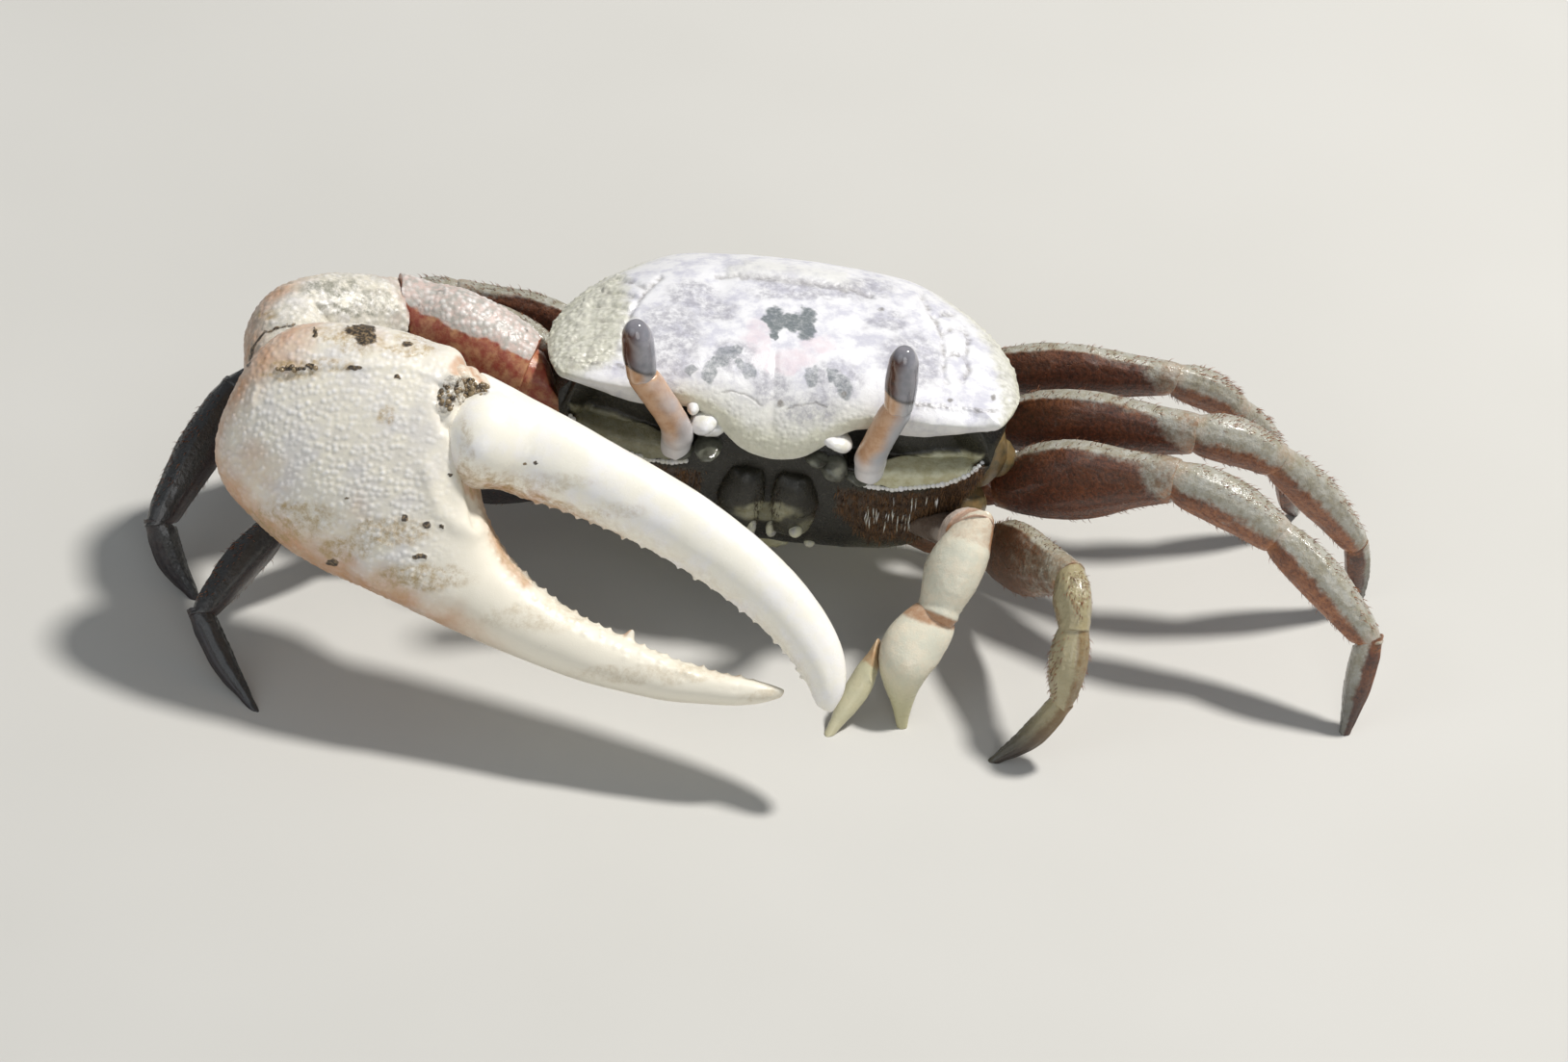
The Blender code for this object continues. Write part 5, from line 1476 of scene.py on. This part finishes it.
def make_leg(name, material, hairs):
    nodes = [f"{name}_{part}" for part in LEG_CHAIN]
    joints = limb_joints(nodes)
    seed = sum(map(ord, name))
    pale_leg = name == PALE_LEG
    for index, (part, node) in enumerate(zip(LEG_CHAIN, nodes)):
        start, end = joints[index], joints[index + 1]
        mesh = fine_mesh(node, 3, 50, 0.45)
        points, normals = points_of(mesh), normals_of(mesh)
        foot = part == "dactyl"
        points = closer_joints(points, start, end, 0.4, 0.0 if foot else 0.35, END_TAPER.get(part, 0.05))
        length = np.linalg.norm(end - start)
        heading = (end - start) / length
        share = (points - start) @ heading / length
        up = upward_side(heading, part)
        upward = normals @ up
        # Relief
        ridge = bell(upward, 0.8, 0.1) + bell(upward, -0.75, 0.12)
        dome = granules(points, GRANULE_GAPS["leg"], seed % 89, 0.55)[0]
        middle = ease(share, 0.0, 0.15) * ease(share, 1.0, 0.85)
        rise = 0.05 * layered_noise(points, 1.6, 3, seed % 97) + 0.04 * dome * ease(upward, 0.3, 0.8)
        rise += middle * (0.09 * ridge - 0.05 * bell(upward, 0.25, 0.16))
        if not foot:
            rise += 0.04 * bell(share, 0.97, 0.04)
        # Colours
        top_from = DORSAL_FROM[part]
        dorsal = ease(upward + 0.15 * layered_noise(points, 1.2), top_from - 0.3, top_from + 0.3)
        pale = PALE_TOPS.get(part, 0.0) * pale_leg
        if part == "merus":
            dorsal = most(dorsal, 0.7 * ease(share + 0.1 * upward, 0.84, 0.98))
            pale = pale * ease(share, 0.2, 0.8)
        paint(mesh, "dorsal", np.maximum(dorsal, pale))
        cloud = layered_noise(points, 1.8, 3, seed % 83)
        # Painted light and shade on the faces: lighter towards their top and bottom edges, darker near the
        # body
        lit = 0.45 * ease(np.abs(upward + 0.2 * cloud), 0.3, 0.95) + 0.2 * cloud
        lit -= 0.5 * ease(share + 0.1 * cloud, 0.35, 0.05)
        paint(mesh, "outer", np.clip(FACE_WARMTH[part] + lit, 0, 1))
        paint(mesh, "olive", np.full(len(points), PALE_SHARE[part] * pale_leg))
        knees = ease(share, 0.1, 0.0) * (index > 0) + ease(share, 0.9, 1.0) * (not foot)
        paint(mesh, "joint", np.clip(knees * (0.2 + 0.7 * ease(-upward, -0.3, 0.5)), 0, 1) * (part != "base"))
        wet = (PALE_FOOT_SHARE if pale_leg else FOOT_SHARE) * foot * ease(share, 0.0, 0.8)
        # The legs in shadow are dark all over, from wet mud and painted shade
        if name in MUDDY_SHADED_LEGS:
            wet = np.full(len(points), MUD_AND_SHADE_SHARE)
        paint(mesh, "wet", wet)
        raise_skin(mesh, points, normals, rise * ease(points[:, 2], 0.1, 0.6))
        add_piece(node + "_skin", mesh, "leg", material, node)
        if part in VELVET_HAIRS:
            margin = bell(np.abs(upward), 0.9, 0.12) * middle
            hairs.grow(mesh, margin, 170, 0.55, 0.028, heading * 0.7 + up * 0.2, 0.55, seed + index)
            velvet = (1 - dorsal) * middle * ease(1 - np.abs(upward), 0.1, 0.5)
            hairs.grow(mesh, velvet, VELVET_HAIRS[part], 0.2, 0.026, heading, 0.72, seed + 40 + index)


def make_minor(material):
    parts = ("base", "merus", "carpus", "palm")
    joints = limb_joints([f"minor_{part}" for part in parts])
    spans = list(zip(parts, joints, joints[1:]))
    spans.append(("finger", joint_place("minor_finger", "minor_palm"), foot_place("minor_finger")))
    for part, start, end in spans:
        mesh = fine_mesh(f"minor_{part}", 3, 50, 0.45)
        points, normals = points_of(mesh), normals_of(mesh)
        last = part in ("palm", "finger")
        points = closer_joints(points, start, end, 0.45, 0.0 if last else 0.4)
        share = (points - start) @ (end - start) / ((end - start) @ (end - start))
        dome = granules(points, GRANULE_GAPS["minor"], 14, 0.55)[0]
        rise = 0.06 * layered_noise(points, 1.6, 3, 3)
        if not last:
            rise += 0.03 * dome + 0.12 * bell(share, 0.95, 0.04)
        near_ring, far_ring = MINOR_RINGS[part]
        rings = near_ring * ease(share, 0.1, 0.03) + far_ring * ease(share, 0.92, 0.98)
        edges = 0.5 * ease(np.abs(normals[:, 0]), 0.8, 1.0) * (part in ("merus", "carpus"))
        paint(mesh, "joint", rings + edges + 0.15 * ease(layered_noise(points, 1.4, 3, 9), 0.1, 0.7))
        flat = np.ones(len(points))
        paint(mesh, "rose", {"base": 0.6, "merus": 0.7}.get(part, 0.0) * flat)
        root = {"base": 0.9, "merus": 0.8 * ease(share, 0.45, 0.0)}.get(part, 0.0)
        paint(mesh, "dark", root * ease(layered_noise(points, 1.0, 3, 71), -0.9, 0.1))
        paint(mesh, "olive", {"palm": ease(share, 0.35, 0.9), "finger": 0.75}.get(part, 0.0) * flat)
        raise_skin(mesh, points, normals, rise * ease(points[:, 2], 0.1, 0.6))
        add_piece(f"minor_{part}_skin", mesh, "minor", material, f"minor_{part}")


def make_body_hairs(underside_mesh):
    """Bristles below the eye plates: dense brown ones, and rows of pale ones that catch the light."""
    fur = layer_values(underside_mesh, "fur")
    rows = layer_values(underside_mesh, "rows")
    brown = Hairs("face_hairs")
    brown.grow(underside_mesh, fur, 4200, 0.7, 0.03, (0, -0.3, -1), 0.6, 51)
    brown.finish("belly", hair_finish("face_hair", HAIR_BROWN, HAIR_TAN))
    pale = Hairs("pale_bristles")
    pale.grow(underside_mesh, rows ** 3, 90, 0.95, 0.075, (0, -0.3, -1), 0.55, 52, 0.07)
    pale.finish("belly", hair_finish("pale_bristle", GRANULE_WHITE, SHELL_CREAM, 0.2))


def make_all():
    random.seed(5)
    make_carapace(shell_finish())
    belly = belly_finish()
    underside_mesh = make_underside(belly)
    make_face(underside_mesh, make_mouth(belly))
    make_abdomen(belly)
    make_eyes()
    claw = claw_finish()
    palm_mesh = make_palm(claw)
    make_carpus(claw)
    make_hinge(palm_mesh, make_finger(finger_finish()))
    make_arm(arm_finish())
    make_minor(minor_finish())
    leg = leg_finish()
    for number in (2, 3, 4, 5):
        for side in ("left", "right"):
            name = f"leg{number}_{side}"
            hairs = Hairs(f"{name}_hairs")
            make_leg(name, leg, hairs)
            hairs.finish("leg", hair_finish(f"{name}_hair", LEG_RUST, LEG_ORANGE))
    make_body_hairs(underside_mesh)


make_camera()
make_stage()
make_lights()
make_all()
